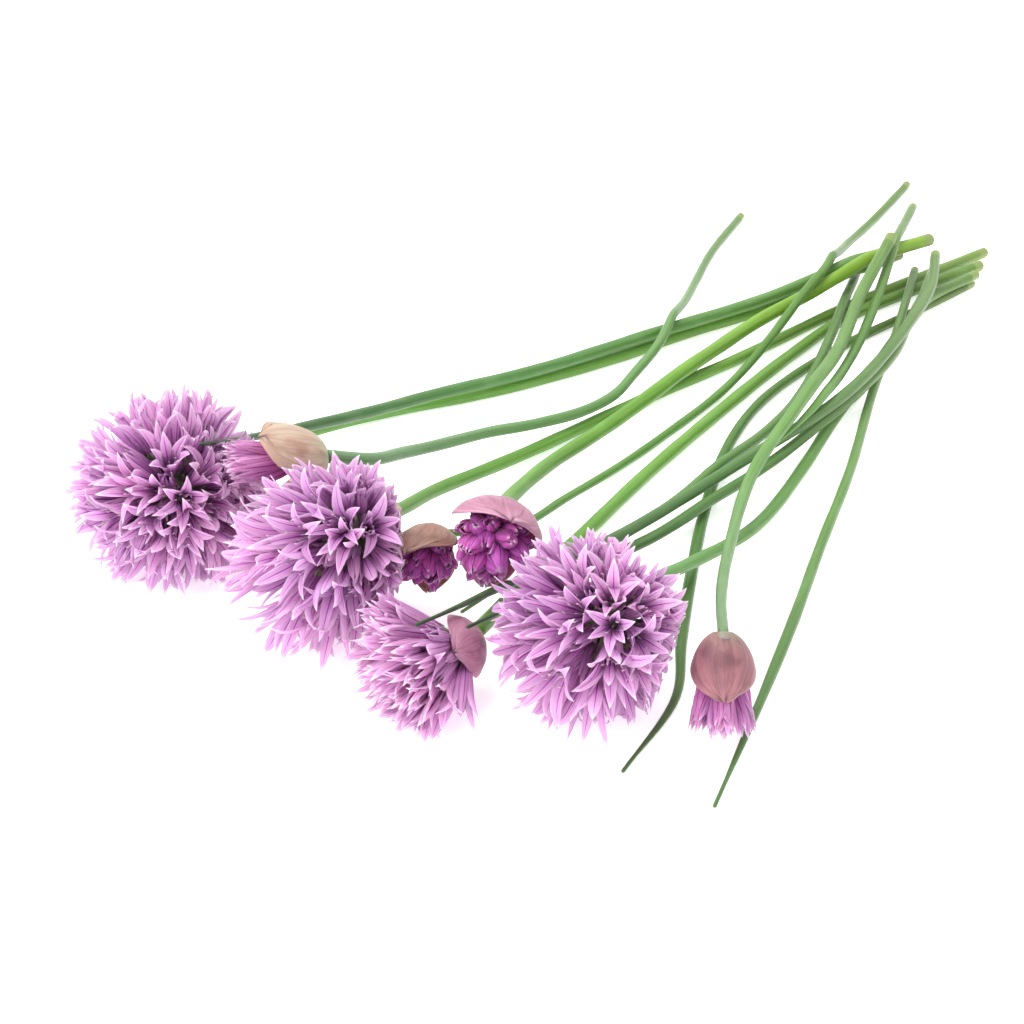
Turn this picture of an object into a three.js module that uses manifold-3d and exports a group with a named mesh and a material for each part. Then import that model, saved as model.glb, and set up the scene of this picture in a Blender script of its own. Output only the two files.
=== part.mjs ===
import * as THREE from 'three';
import { mergeVertices } from 'three/addons/utils/BufferGeometryUtils.js';
import Module from 'manifold-3d';

// A loose bunch of flowering chives lying on a table: hollow leaves, round flower stalks,
// and a head of florets on each stalk. Lengths are in millimetres and Z is up. The stalks
// run along X, with the flower heads at the low end of X and the cut ends at the high end.

// Stalks and leaves
const STATION_STEP = 2.5; // spacing of the stations along a stalk
const LYING_GAP = 0.6; // air left where one stalk lies over another
const CROSSING_SLACK = 0.6; // widens a crossing, so that it counts between two stations
const SAG = 0.016; // fall of a free span from one station to the next
const SETTLING_ROUNDS = 6000;
const EASING_ROUNDS = 30;
const BEND_TOLERANCE = 0.2; // how far a straight piece may leave the true bend
const STALK_SIDES = 6;
const THICKENING = 1.6; // how soon along its length a stalk has its lower radius
const LEAF_TAPER = 0.2; // share of a leaf's length over which it narrows to the tip
const LEAF_TIP_RADIUS = 0.35;
const LEAF_TIP_POWER = 0.6; // the lower this power, the more sudden the point of a leaf
const BORE_SHARE = 0.6; // the hollow of a cut end against the stalk's radius
const BORE_NARROWING = 0.8; // the bottom of the hollow against its mouth
const BORE_DEPTH = 4;
const SOCKET_LENGTH = 30; // long enough to leave the head at the back

// Heads
const STEM_STATION = 4; // a head takes its direction from this much of its stalk
const SOCKET_GAP = 0.35; // air between a stalk's top and the socket it sits in
const SLEEVE_GAP = 0.35; // air cut between petals and a leaf or bract that lies among them
const SLEEVE_OVERRUN = 8; // the cut runs on this far outside the head
const STALK_CONE = THREE.MathUtils.degToRad(36); // kept free of florets round the stalk
const CONE_START = 0.7; // the cone starts this far down the core
const HEAD_GAP = 0.5; // air between two neighbouring heads
const HEAD_REACH = 6; // heads further apart than this don't press on each other
const PRESS_DEPTH = 4; // how deep florets give way against a neighbour or the table
const FIRM_SHARE = 0.72; // the inner part of a bloom that a neighbour doesn't press in
const LEAF_GAP = 0.9; // air between a floret and a leaf or stalk that passes it
const LEAF_REACH = 6; // a leaf this far outside a head still turns its florets away
const FLORET_GIRTH = 2.2; // a floret steers this far clear of a passing leaf
const TWIST_SCATTER = 0.3; // scatter of the florets round the axis, in radians
const TILT_SCATTER = 0.12; // scatter of their tilt
const STEERING_STEPS = 12;
const STEERING_SHARE = 0.6; // part of the way that a floret turns in one step
const ROOT_SHARE = 0.55; // depth of a floret's root in the core, against the core's radius
const UNEVENNESS = 0.12; // spread of the florets' reach
const CUP_SHARE = 0.36; // height of the cup against the floret's length
const THROAT_DEPTH = 1.15; // height of the cup's floor against the height of its notches
const WIDE_SHARE = 0.7; // height at which the petals are widest
const CUP_GIRTH = 0.3; // girth of the cup against the spread of the petal tips
const WIDE_GIRTH = 0.62; // girth where the petals are widest
const OPEN_SPREAD = [0.24, 0.05]; // spread of an open floret against its reach, and its scatter
const CLOSED_SPREAD = 1.9; // spread of a bud's floret
const PETAL_FULLNESS = 0.66; // share of its room that a petal takes up at its widest
const PETAL_KEEL = 0.5; // how far a petal's keel stands out behind its edges
const MOUTH_REACH = 1.95; // reach of an opening bud's florets against half its egg's length
const MOUTH_FLARE = 0.3; // how fast the florets of an opening bud widen beyond its bracts
const HALF_BLOOM_MIDDLE = 0.5; // where the half-open bloom is fullest, against its reach
const HALF_BLOOM_GIRTH = 0.6;
const HALF_BLOOM_EDGE = Math.tan(THREE.MathUtils.degToRad(8)); // slope of its lowest petals

// Bracts
const BRACT_THICKNESS = 0.65;
const BRACT_ROOM = 1; // florets of a bud stay this far inside its bracts
const BRACT_GRID = 5; // points along and across a bract
const BRACT_ROUNDING = 0.8; // the lower this power, the fuller the sides of a bract
const BRACT_POINT = 2.2; // the higher this power, the blunter the bract
const BRACT_TIP = 0.06; // width left at the tip
const STALK_OPENING = 2.5; // radius left open round the stalk
const BLOOM_BRACT_GAP = 0.5; // the bracts of an open bloom start this far behind its core
const HALF_BLOOM_BRACT_DROP = 2.5; // the half-open bloom's bract starts this far behind

// Every stalk and leaf in the order in which it was laid down, the lowest first. A route
// starts at the flower or at the leaf tip and ends at the cut end. The start height is
// given where a head or another leaf holds the start up.
const STALKS = [
  {
    name: 'leaf_lowest', leaf: true, radii: [1.3, 1.25], colour: 0x4f7f35,
    route: [[-139, -55], [-117, -52], [-102, -44], [-82, -34], [-53, -21], [-27, -12],
      [-3, -8], [34, -10], [66, -16], [95, -21]],
  },
  {
    name: 'stalk_middle_bloom', radii: [1.45, 1.5], colour: 0x6f9f45, startHeight: 18.5,
    route: [[-127.5, 13.6], [-114, 17.3], [-97, 22], [-82, 23], [-55, 21], [-21, 15], [11, 8],
      [58, 0], [119, -15]],
  },
  {
    name: 'stalk_half_bloom', radii: [1.45, 1.6], colour: 0x79a850, startHeight: 9,
    route: [[-132.4, -17.4], [-109, -11], [-84, -8], [-55, -5], [-19, -3], [22, -2], [50, -3],
      [76, -9], [108, -18]],
  },
  {
    name: 'stalk_front_bloom', radii: [1.3, 1.4], colour: 0x7fa96a, startHeight: 16.5,
    route: [[-119.4, -39.2], [-105, -35], [-85, -35], [-59, -36], [-30, -32], [-4, -27],
      [31, -22], [69, -18], [94, -22]],
  },
  {
    name: 'leaf_front', leaf: true, radii: [1.15, 1.15], colour: 0x5f8f48,
    route: [[-137, -72], [-109, -65], [-83, -58], [-56, -50], [-24, -41], [16, -28],
      [43, -21], [86, -7]],
  },
  {
    name: 'leaf_hidden_tip', leaf: true, radii: [1.1, 1.3], colour: 0x55803f, startHeight: 3,
    route: [[-122, -6], [-113, -11], [-103, -14], [-91, -15], [-61, -18], [-34, -18],
      [-5, -16], [20, -11], [59, 1], [81, 8]],
  },
  {
    name: 'stalk_left_bloom', radii: [1.35, 1.6], colour: 0x76a34d, startHeight: 16,
    route: [[-137, 56], [-120, 63], [-105, 67], [-87, 68], [-69, 63], [-40, 47], [-8, 34],
      [19, 26], [67, 5], [90, 0]],
  },
  {
    name: 'leaf_over_left_bloom', leaf: true, radii: [1.25, 1.6], colour: 0x5d8b4a,
    startHeight: 31,
    route: [[-139, 45], [-117, 52], [-99, 55], [-78, 55], [-57, 52], [-27, 40], [17, 25],
      [45, 13], [64, 5], [78, 0]],
  },
  {
    name: 'stalk_round_bud', radii: [1.6, 1.8], colour: 0x82b545, startHeight: 19.3,
    route: [[-112, -6], [-94, 3], [-71, 10], [-49, 12], [-10, 12], [27, 11], [49, 5],
      [81, -5], [91, -8]],
  },
  {
    name: 'stalk_opening_bud', radii: [1.4, 1.2], colour: 0x7d9f78, startHeight: 25.7,
    route: [[-121.2, 28.7], [-111, 26], [-98, 28], [-71, 28], [-57, 24], [-43, 20], [-31, 19],
      [-19, 21], [-2, 24], [21, 32], [48, 43], [70, 51], [102, 59]],
  },
  {
    name: 'leaf_beside_half_bloom', leaf: true, radii: [1.1, 1.3], colour: 0x577f45,
    startHeight: 17,
    route: [[-140, -22], [-117, -20], [-97, -20], [-77, -23], [-52, -25], [-25, -27],
      [0, -28], [28, -27], [45, -23], [63, -19], [81, -14]],
  },
  {
    name: 'leaf_over_half_bloom', leaf: true, radii: [1.1, 1.4], colour: 0x5d8650,
    startHeight: 20,
    route: [[-148, -17], [-122, -16], [-96, -19], [-66, -21], [-43, -23], [-11, -28],
      [16, -28], [49, -24], [66, -20], [87, -12]],
  },
  {
    name: 'leaf_short', leaf: true, radii: [1.1, 1.3], colour: 0x6c9358,
    route: [[-38, -28], [-13, -27], [16, -21], [46, -13], [80, -3], [108, 5]],
  },
  {
    name: 'stalk_capped_bud', radii: [1.0, 1.6], colour: 0x8fb27c, startHeight: 17,
    route: [[-114.9, -59.4], [-100, -50.6], [-82, -42], [-53, -31], [-24, -26], [8, -20],
      [43, -10], [70, -5]],
  },
  {
    name: 'stalk_small_bud', radii: [0.8, 1.25], colour: 0x6f9a50, startHeight: 14.2,
    route: [[-117, 5], [-110, 3], [-101, -1], [-90, 0], [-75, 2], [-38, 2], [-5, 2],
      [36, 5], [53, 6], [99, 19], [161, 29]],
    ducksUnder: { name: 'stalk_round_bud', before: -88 },
  },
];

// Every flower head. The base is where its florets spring from, and the axis points from
// the stalk into the head. A bloom is a ball of open florets, whose middle lies ahead of
// the base. A bud is an egg of closed ones, and an opening bud spreads them at its mouth.
const HEADS = [
  {
    name: 'left_bloom', stalk: 'stalk_left_bloom', base: [-138.6, 55.3, 16], reach: 21,
    core: 6.5, fan: 142, florets: 30, colour: 0xb87cc4,
  },
  {
    name: 'middle_bloom', stalk: 'stalk_middle_bloom', base: [-130.3, 12.8, 18.5], reach: 19,
    ahead: 9.5, core: 5, fan: 142, florets: 30, colour: 0xb878c6, axis: [-0.98, 0.08, -0.16],
  },
  {
    name: 'front_bloom', stalk: 'stalk_front_bloom', base: [-121.9, -40, 16.5], reach: 18,
    ahead: 6.7, core: 5, fan: 142, florets: 28, colour: 0xbc84ca, axis: [-0.99, 0.09, -0.07],
  },
  {
    name: 'half_bloom', stalk: 'stalk_half_bloom', base: [-134.9, -18.2, 9], reach: 22,
    core: 4, fan: 48, florets: 12, colour: 0xb777c2, axis: [-0.95, 0.28, -0.06],
  },
  {
    name: 'opening_bud', stalk: 'stalk_opening_bud', base: [-121.8, 29, 25.6],
    egg: [10, 6], mouth: true, core: 2.8, fan: 24, florets: 12, lobes: 3, colour: 0xb06abf,
    axis: [-0.84, 0.52, 0.14],
  },
  {
    name: 'small_bud', stalk: 'stalk_small_bud', base: [-117.2, 4.7, 14], egg: [7.2, 6.2],
    core: 2.6, fan: 62, florets: 11, lobes: 3, colour: 0x9a3f98, axis: [-0.85, -0.45, -0.27],
  },
  {
    name: 'round_bud', stalk: 'stalk_round_bud', base: [-112.6, -6.6, 19.4], egg: [8.3, 8.1],
    core: 3.4, fan: 66, florets: 18, lobes: 3, colour: 0x9c3f9e, axis: [-0.81, -0.58, 0.02],
  },
  {
    name: 'capped_bud', stalk: 'stalk_capped_bud', base: [-114.9, -59.4, 17], egg: [9, 4.6],
    mouth: true, core: 2.4, fan: 22, florets: 10, lobes: 3, colour: 0xa860b4,
    axis: [-0.51, -0.34, -0.79],
  },
];

// The papery bracts that wrapped each head. Around is the angle of a bract's middle about
// the head's axis, counted from the upper side. The bracts of an open bloom point back
// along its stalk.
const BRACTS = [
  { name: 'opening_bud_bract_upper', head: 'opening_bud', around: -22, spread: 72, end: 104,
    point: 4, colour: 0xcdb09a },
  { name: 'opening_bud_bract_lower', head: 'opening_bud', around: -159, spread: 54, end: 98,
    point: 3, colour: 0xa98a74 },
  { name: 'small_bud_bract_upper', head: 'small_bud', around: 22, spread: 80, end: 108,
    point: 4, colour: 0x94705f },
  { name: 'small_bud_bract_lower', head: 'small_bud', around: 178, spread: 56, end: 90,
    colour: 0x9a6f6a },
  { name: 'round_bud_bract_upper', head: 'round_bud', around: -28, spread: 88, end: 112,
    point: 5, colour: 0xb87d9c },
  { name: 'round_bud_bract_lower', head: 'round_bud', around: 172, spread: 60, end: 85,
    colour: 0xb07892 },
  { name: 'capped_bud_bract_upper', head: 'capped_bud', around: 0, spread: 100, end: 98,
    point: 3, opening: 1.8, colour: 0xb98a8c },
  { name: 'capped_bud_bract_lower', head: 'capped_bud', around: 180, spread: 52, end: 80,
    colour: 0xa9807c },
  { name: 'half_bloom_bract', head: 'half_bloom', around: -50, spread: 82, end: 96,
    egg: [8.2, 7.2], point: 3, colour: 0xc293a0 },
  { name: 'middle_bloom_bract_upper', head: 'middle_bloom', around: 20, spread: 60,
    end: 115, egg: [6, 5.4], opening: 3.3, colour: 0xd3ad9c },
  { name: 'middle_bloom_bract_lower', head: 'middle_bloom', around: 185, spread: 55,
    end: 110, egg: [6, 5.2], opening: 3.3, colour: 0xa98574 },
  { name: 'front_bloom_bract', head: 'front_bloom', around: 10, spread: 65, end: 115,
    egg: [6.2, 5.2], opening: 3.1, colour: 0xd6bfae },
];

const UP = new THREE.Vector3(0, 0, 1);
const wasm = await Module();
wasm.setup();

// A repeatable random number between 0 and 1
function seededRandom(seed) {
  let state = seed;
  return () => {
    state = (state * 16807) % 2147483647;
    return state / 2147483647;
  };
}

// A short number for a name, so that every head has its own scatter
function seedOf(name) {
  return [...name].reduce((sum, letter) => sum * 31 % 99991 + letter.charCodeAt(0), 7);
}

function petalMaterial(colour) {
  return new THREE.MeshStandardMaterial({ color: colour, roughness: 0.7, metalness: 0 });
}

function stalkMaterial(colour) {
  return new THREE.MeshStandardMaterial({ color: colour, roughness: 0.45, metalness: 0 });
}

function bractMaterial(colour) {
  return new THREE.MeshStandardMaterial({ color: colour, roughness: 0.8, metalness: 0 });
}

// Radius of a stalk or leaf at a share of its length from the start
function radiusAt(stalk, share) {
  const [first, last] = stalk.radii;
  const radius = THREE.MathUtils.lerp(first, last, Math.min(1, share * THICKENING));
  if (!stalk.leaf || share >= LEAF_TAPER) {
    return radius;
  }
  return Math.max(LEAF_TIP_RADIUS, radius * (share / LEAF_TAPER) ** LEAF_TIP_POWER);
}

// Lowest height that a stalk's centre can have at a point, over the table and what lies there
function restingHeight(point, radius, stalk, laid) {
  let height = radius;
  for (const lower of laid) {
    const duck = stalk.ducksUnder;
    if (duck && duck.name === lower.name && point.x < duck.before) {
      continue;
    }
    for (let i = 1; i < lower.stations.length; i += 1) {
      const from = lower.stations[i - 1];
      const to = lower.stations[i];
      const run = new THREE.Vector2(to.x - from.x, to.y - from.y);
      const offset = new THREE.Vector2(point.x - from.x, point.y - from.y);
      const share = THREE.MathUtils.clamp(offset.dot(run) / run.lengthSq(), 0, 1);
      const away = Math.max(0, offset.addScaledVector(run, -share).length() - CROSSING_SLACK);
      const reach = radius + THREE.MathUtils.lerp(lower.radii[i - 1], lower.radii[i], share)
        + LYING_GAP;
      if (away < reach) {
        const centre = THREE.MathUtils.lerp(from.z, to.z, share);
        height = Math.max(height, centre + Math.sqrt(reach ** 2 - away ** 2));
      }
    }
  }
  return height;
}

// Lets a stalk come to rest on the ones laid before it, as a stiff thin rod would
function layStalk(stalk, laid) {
  const flat = stalk.route.map(([x, y]) => new THREE.Vector3(x, y, 0));
  const curve = new THREE.CatmullRomCurve3(flat, false, 'centripetal');
  const count = Math.round(curve.getLength() / STATION_STEP);
  const stations = curve.getSpacedPoints(count);
  const radii = stations.map((_, i) => radiusAt(stalk, i / count));
  const rest = stations.map((point, i) => restingHeight(point, radii[i], stalk, laid));
  const heights = [...rest];
  const held = stalk.startHeight !== undefined;
  if (held) {
    heights[0] = stalk.startHeight;
  }
  const settle = (i) => {
    const ahead = i < count ? heights[i + 1] : heights[i - 1];
    const behind = i > 0 ? heights[i - 1] : heights[i + 1];
    heights[i] = Math.max(rest[i], (ahead + behind) / 2 - SAG);
  };
  for (let round = 0; round < SETTLING_ROUNDS; round += 1) {
    for (let i = held ? 1 : 0; i <= count; i += 1) {
      settle(i);
    }
  }
  for (let round = 0; round < EASING_ROUNDS; round += 1) {
    const before = [...heights];
    for (let i = 1; i < count; i += 1) {
      const eased = (before[i - 1] + 2 * before[i] + before[i + 1]) / 4;
      heights[i] = Math.max(eased, rest[i]);
    }
  }
  stations.forEach((point, i) => point.setZ(heights[i]));
  return { ...stalk, stations, radii };
}

// Drops the stations that a straight piece already passes closely enough
function thinned(stations, first, last) {
  const line = new THREE.Line3(stations[first], stations[last]);
  const nearest = new THREE.Vector3();
  let worst = 0;
  let split = -1;
  for (let i = first + 1; i < last; i += 1) {
    line.closestPointToPoint(stations[i], true, nearest);
    const away = nearest.distanceTo(stations[i]);
    if (away > worst) {
      worst = away;
      split = i;
    }
  }
  if (worst <= BEND_TOLERANCE) {
    return [first, last];
  }
  return [...thinned(stations, first, split), ...thinned(stations, split, last).slice(1)];
}

// Builds a closed solid from points and the corner numbers of its triangles
function solidFrom(points, corners) {
  const geometry = new THREE.BufferGeometry();
  const flat = new Float32Array(points.flatMap((point) => [point.x, point.y, point.z]));
  geometry.setAttribute('position', new THREE.BufferAttribute(flat, 3));
  geometry.setIndex(corners);
  geometry.computeVertexNormals();
  return geometry;
}

// A ring of points round a stalk, with one corner straight below the centre
function ringOf(centre, along, radius) {
  const side = new THREE.Vector3().crossVectors(UP, along).normalize();
  const lift = new THREE.Vector3().crossVectors(along, side).normalize();
  return Array.from({ length: STALK_SIDES }, (_, k) => {
    const angle = ((k + 0.5) / STALK_SIDES) * Math.PI * 2;
    return centre.clone()
      .addScaledVector(side, Math.cos(angle) * radius)
      .addScaledVector(lift, Math.sin(angle) * radius);
  });
}

// Skins a row of rings into one closed solid
function skin(rings) {
  const sides = rings[0].length;
  const corners = [];
  for (let row = 1; row < rings.length; row += 1) {
    for (let k = 0; k < sides; k += 1) {
      const here = (row - 1) * sides + k;
      const next = (row - 1) * sides + ((k + 1) % sides);
      corners.push(here, next, next + sides, here, next + sides, here + sides);
    }
  }
  const lastRow = (rings.length - 1) * sides;
  for (let k = 1; k < sides - 1; k += 1) {
    corners.push(0, k + 1, k, lastRow, lastRow + k, lastRow + k + 1);
  }
  return solidFrom(rings.flat(), corners);
}

// The direction in which a stalk runs at one of its stations
function alongAt(stations, i) {
  const from = stations[Math.max(0, i - 1)];
  const to = stations[Math.min(stations.length - 1, i + 1)];
  return new THREE.Vector3().subVectors(to, from).normalize();
}

// The solid of a stalk or leaf, closed at the start and hollow at the cut end
function stalkSolid(laid) {
  const { stations, radii } = laid;
  const last = stations.length - 1;
  const rings = thinned(stations, 0, last)
    .map((i) => ringOf(stations[i], alongAt(stations, i), radii[i]));
  const along = alongAt(stations, last);
  const boreRadius = radii[last] * BORE_SHARE;
  const boreEnd = stations[last].clone().addScaledVector(along, -BORE_DEPTH);
  rings.push(ringOf(stations[last], along, boreRadius));
  rings.push(ringOf(boreEnd, along, boreRadius * BORE_NARROWING));
  return skin(rings);
}

// A straight plug round the top of a stalk, which is cut from the head to make its socket
function socketSolid(laid) {
  const along = alongAt(laid.stations, 0);
  const radius = laid.radii[0] + SOCKET_GAP;
  const start = laid.stations[0].clone().addScaledVector(along, -SOCKET_GAP);
  const end = laid.stations[0].clone().addScaledVector(along, SOCKET_LENGTH);
  return skin([ringOf(start, along, radius), ringOf(end, along, radius)]);
}

// The solid that clears a channel through petals for a leaf or stalk that lies among them
function sleeveSolid(laid, centre, radius) {
  const near = laid.stations.map((station) => station.distanceTo(centre) < radius + SLEEVE_OVERRUN);
  const first = near.indexOf(true);
  const last = near.lastIndexOf(true);
  const rings = thinned(laid.stations, first, last)
    .map((i) => ringOf(laid.stations[i], alongAt(laid.stations, i), laid.radii[i] + SLEEVE_GAP));
  const along = alongAt(laid.stations, first);
  const start = laid.stations[first].clone().addScaledVector(along, -SLEEVE_GAP);
  rings.unshift(ringOf(start, along, laid.radii[first] + SLEEVE_GAP));
  return skin(rings);
}

// One open floret: a narrow cup whose petals part and bend out to points
function floretShape(lobes, length, spread, turn) {
  const cupHeight = length * CUP_SHARE;
  const wideHeight = length * WIDE_SHARE;
  const petalHalf = Math.PI / lobes;
  const polar = (radius, angle, height) => new THREE.Vector3(
    Math.cos(angle) * radius, Math.sin(angle) * radius, height);
  const root = 0;
  const cup = 1;
  const points = [polar(0, 0, 0), polar(0, 0, cupHeight * THROAT_DEPTH)];
  const corners = [];
  for (let i = 0; i < lobes; i += 1) {
    const angle = turn + (i * Math.PI * 2) / lobes;
    const wide = petalHalf * PETAL_FULLNESS;
    const edge = spread * WIDE_GIRTH;
    const valley = points.length;
    const [left, right, back, tip] = [valley + 1, valley + 2, valley + 3, valley + 4];
    const after = i < lobes - 1 ? valley + 5 : 2;
    points.push(
      polar(spread * CUP_GIRTH, angle - petalHalf, cupHeight),
      polar(edge, angle - wide, wideHeight),
      polar(edge, angle + wide, wideHeight),
      polar(edge + PETAL_KEEL, angle, wideHeight - PETAL_KEEL),
      polar(spread, angle, length),
    );
    corners.push(
      root, after, valley,
      valley, after, back, valley, back, left, after, right, back,
      left, back, tip, back, right, tip,
      left, tip, right, cup, left, right,
      valley, left, cup, cup, right, after,
    );
  }
  return { points, corners };
}

// How far a floret reaches from the base of its head at an angle from the axis
function reachAt(head, angle) {
  const c = Math.cos(angle);
  const s = Math.sin(angle);
  if (!head.egg) {
    return head.ahead * c + Math.sqrt(head.reach ** 2 - (head.ahead * s) ** 2);
  }
  const [half, girth] = head.egg;
  return head.mouth ? MOUTH_REACH * half : (2 * half * c) / (c * c + (half / girth) ** 2 * s * s);
}

// A softly yielding distance: it stays positive, and is unchanged beyond the press depth
function pressed(distance) {
  return distance < PRESS_DEPTH
    ? PRESS_DEPTH * Math.exp((distance - PRESS_DEPTH) / PRESS_DEPTH)
    : distance;
}

// Where the widest part of a head lies, and how wide it is
function ballOf(head) {
  const [half, girth] = head.egg ?? [head.ahead, head.reach];
  const bractRoom = head.egg ? BRACT_ROOM + BRACT_THICKNESS : 0;
  const centre = head.base.clone().addScaledVector(head.axis, half);
  if (head.fan < 90 && !head.egg) {
    centre.addScaledVector(head.axis, head.reach * HALF_BLOOM_MIDDLE);
    return { centre, radius: head.reach * HALF_BLOOM_GIRTH };
  }
  return { centre, radius: girth + bractRoom };
}

// The planes that part a head from the neighbours it would run into
function partingPlanes(head, heads) {
  const own = ballOf(head);
  return heads.filter((other) => other !== head).flatMap((other) => {
    const its = ballOf(other);
    const apart = own.centre.distanceTo(its.centre);
    if (apart > own.radius + its.radius + HEAD_REACH) {
      return [];
    }
    const normal = new THREE.Vector3().subVectors(own.centre, its.centre).normalize();
    const firm = (ball, kind) => (kind.egg ? ball.radius : ball.radius * FIRM_SHARE);
    const ownFirm = firm(own, head);
    const itsFirm = firm(its, other);
    const share = itsFirm + (apart - ownFirm - itsFirm) / 2;
    const point = its.centre.clone().addScaledVector(normal, share + HEAD_GAP / 2);
    return [new THREE.Plane().setFromNormalAndCoplanarPoint(normal, point)];
  });
}

// Moves a point of a floret clear of the table, the neighbours, the stalk and the leaves
function clearPoint(point, head, planes, passing) {
  for (const plane of planes) {
    const distance = plane.distanceToPoint(point);
    point.addScaledVector(plane.normal, pressed(distance) - distance);
  }
  for (const station of passing) {
    const away = new THREE.Vector3().subVectors(point, station.centre);
    const least = station.radius + LEAF_GAP;
    if (away.length() < least) {
      point.copy(station.centre).addScaledVector(away.normalize(), least);
    }
  }
  const offset = new THREE.Vector3().subVectors(point, head.base);
  const along = offset.dot(head.axis);
  const radial = offset.clone().addScaledVector(head.axis, -along);
  const girth = radial.length();
  if (head.egg) {
    const [half, widest] = head.egg;
    const turn = Math.acos(THREE.MathUtils.clamp(1 - along / half, -1, 1));
    const beyond = Math.max(0, along - half * (1 - Math.cos(head.wrap)));
    const limit = widest * Math.sin(Math.min(turn, head.wrap))
      + (head.mouth ? beyond * MOUTH_FLARE : 0);
    if (along > 0 && girth > limit) {
      point.addScaledVector(radial.normalize(), limit - girth);
    }
  } else if (head.fan < 90) {
    point.addScaledVector(head.axis, Math.max(0, girth * HALF_BLOOM_EDGE - along));
  } else if (-along > head.core * CONE_START) {
    const limit = -along * Math.tan(STALK_CONE);
    if (girth < limit) {
      point.addScaledVector(radial.normalize(), limit - girth);
    }
  }
  point.z = pressed(point.z);
  return point;
}

// Turns a floret's direction away from the leaves that pass through its head
function steer(direction, reach, head, passing) {
  const closest = (station) => {
    const offset = new THREE.Vector3().subVectors(station.centre, head.base);
    const along = THREE.MathUtils.clamp(offset.dot(direction), head.core, reach);
    const gap = offset.clone().addScaledVector(direction, -along);
    return { along, gap, short: station.radius + FLORET_GIRTH - gap.length() };
  };
  for (let step = 0; step < STEERING_STEPS; step += 1) {
    const worst = passing.map(closest).sort((a, b) => b.short - a.short)[0];
    if (!worst || worst.short <= 0) {
      break;
    }
    const push = worst.gap.lengthSq() > 1e-6 ? worst.gap.normalize() : UP;
    direction.addScaledVector(push, (-worst.short * STEERING_SHARE) / worst.along).normalize();
  }
}

// The directions of a head's florets, spread evenly as seeds are and then loosened a little
function floretDirections(head, random) {
  const frame = new THREE.Quaternion().setFromUnitVectors(UP, head.axis);
  const golden = Math.PI * (3 - Math.sqrt(5));
  const least = Math.cos(THREE.MathUtils.degToRad(head.fan));
  return Array.from({ length: head.florets }, (_, k) => {
    const cosine = 1 - (1 - least) * ((k + 0.5) / head.florets);
    const sine = Math.sqrt(1 - cosine * cosine);
    const angle = k * golden + (random() - 0.5) * TWIST_SCATTER;
    return new THREE.Vector3(Math.cos(angle) * sine, Math.sin(angle) * sine, cosine)
      .addScaledVector(new THREE.Vector3(random() - 0.5, random() - 0.5, 0), TILT_SCATTER)
      .normalize()
      .applyQuaternion(frame);
  });
}

function toManifold(geometry) {
  return new wasm.Manifold(new wasm.Mesh({
    numProp: 3,
    vertProperties: new Float32Array(geometry.getAttribute('position').array),
    triVerts: new Uint32Array(geometry.getIndex().array),
  }));
}

function fromManifold(solid) {
  const { vertProperties, triVerts, numProp } = solid.getMesh();
  const points = [];
  for (let i = 0; i < vertProperties.length; i += numProp) {
    points.push(new THREE.Vector3(vertProperties[i], vertProperties[i + 1], vertProperties[i + 2]));
  }
  return solidFrom(points, [...triVerts]);
}

// The biggest of the pieces that a cut has left, without the loose scraps
function largestBody(solid) {
  return solid.decompose().sort((a, b) => b.volume() - a.volume())[0];
}

// The small ball in the middle of a head, in which every floret is rooted
function coreSolid(head) {
  const ball = new THREE.IcosahedronGeometry(head.core, 1);
  ball.deleteAttribute('normal');
  ball.deleteAttribute('uv');
  const centre = head.base.clone().addScaledVector(head.axis, head.egg ? head.core : 0);
  return mergeVertices(ball.translate(...centre), 1e-3);
}

// One floret in its place in the head
function floretSolid(head, direction, random, planes, passing) {
  const angle = direction.angleTo(head.axis);
  const lobes = head.lobes ?? 6;
  const root = head.core * ROOT_SHARE;
  const reach = reachAt(head, angle) * (1 + (random() - 0.5) * UNEVENNESS);
  steer(direction, reach, head, passing);
  const length = reach - root;
  const [least, scatter] = OPEN_SPREAD;
  const spread = head.egg ? CLOSED_SPREAD : reach * (least + random() * scatter);
  const shape = floretShape(lobes, length, spread, random() * Math.PI);
  const place = new THREE.Quaternion().setFromUnitVectors(UP, direction);
  const start = head.base.clone().addScaledVector(direction, root);
  if (head.egg) {
    start.addScaledVector(head.axis, head.core * 0.5);
  }
  const points = shape.points.map((point) => clearPoint(
    point.applyQuaternion(place).add(start), head, planes, passing));
  return solidFrom(points, shape.corners);
}

// The stations of other stalks and leaves that pass through or close by a head
function passingStations(head, laid) {
  const { centre, radius } = ballOf(head);
  return laid.filter((stalk) => stalk.name !== head.stalk).flatMap((stalk) => stalk.stations
    .map((station, i) => ({ centre: station, radius: stalk.radii[i] }))
    .filter((station) => station.centre.distanceTo(centre) < radius + LEAF_REACH));
}

// A whole head: its florets and core as one body, with a socket for the stalk
function headSolid(head, heads, laid) {
  const random = seededRandom(seedOf(head.name));
  const planes = partingPlanes(head, heads);
  const passing = passingStations(head, laid);
  const stalk = laid.find((one) => one.name === head.stalk);
  let body = toManifold(coreSolid(head));
  for (const direction of floretDirections(head, random)) {
    body = body.add(toManifold(floretSolid(head, direction, random, planes, passing)));
  }
  body = body.subtract(toManifold(socketSolid(stalk)));
  const { centre, radius } = ballOf(head);
  for (const other of laid) {
    const touches = other.stations.some((station) => station.distanceTo(centre) < radius);
    if (other !== stalk && touches) {
      body = body.subtract(toManifold(sleeveSolid(other, centre, radius)));
    }
  }
  for (const bract of BRACTS.filter((one) => one.head === head.name)) {
    body = body.subtract(toManifold(bractSolid(bract, head, SLEEVE_GAP)));
  }
  return fromManifold(largestBody(body));
}

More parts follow.
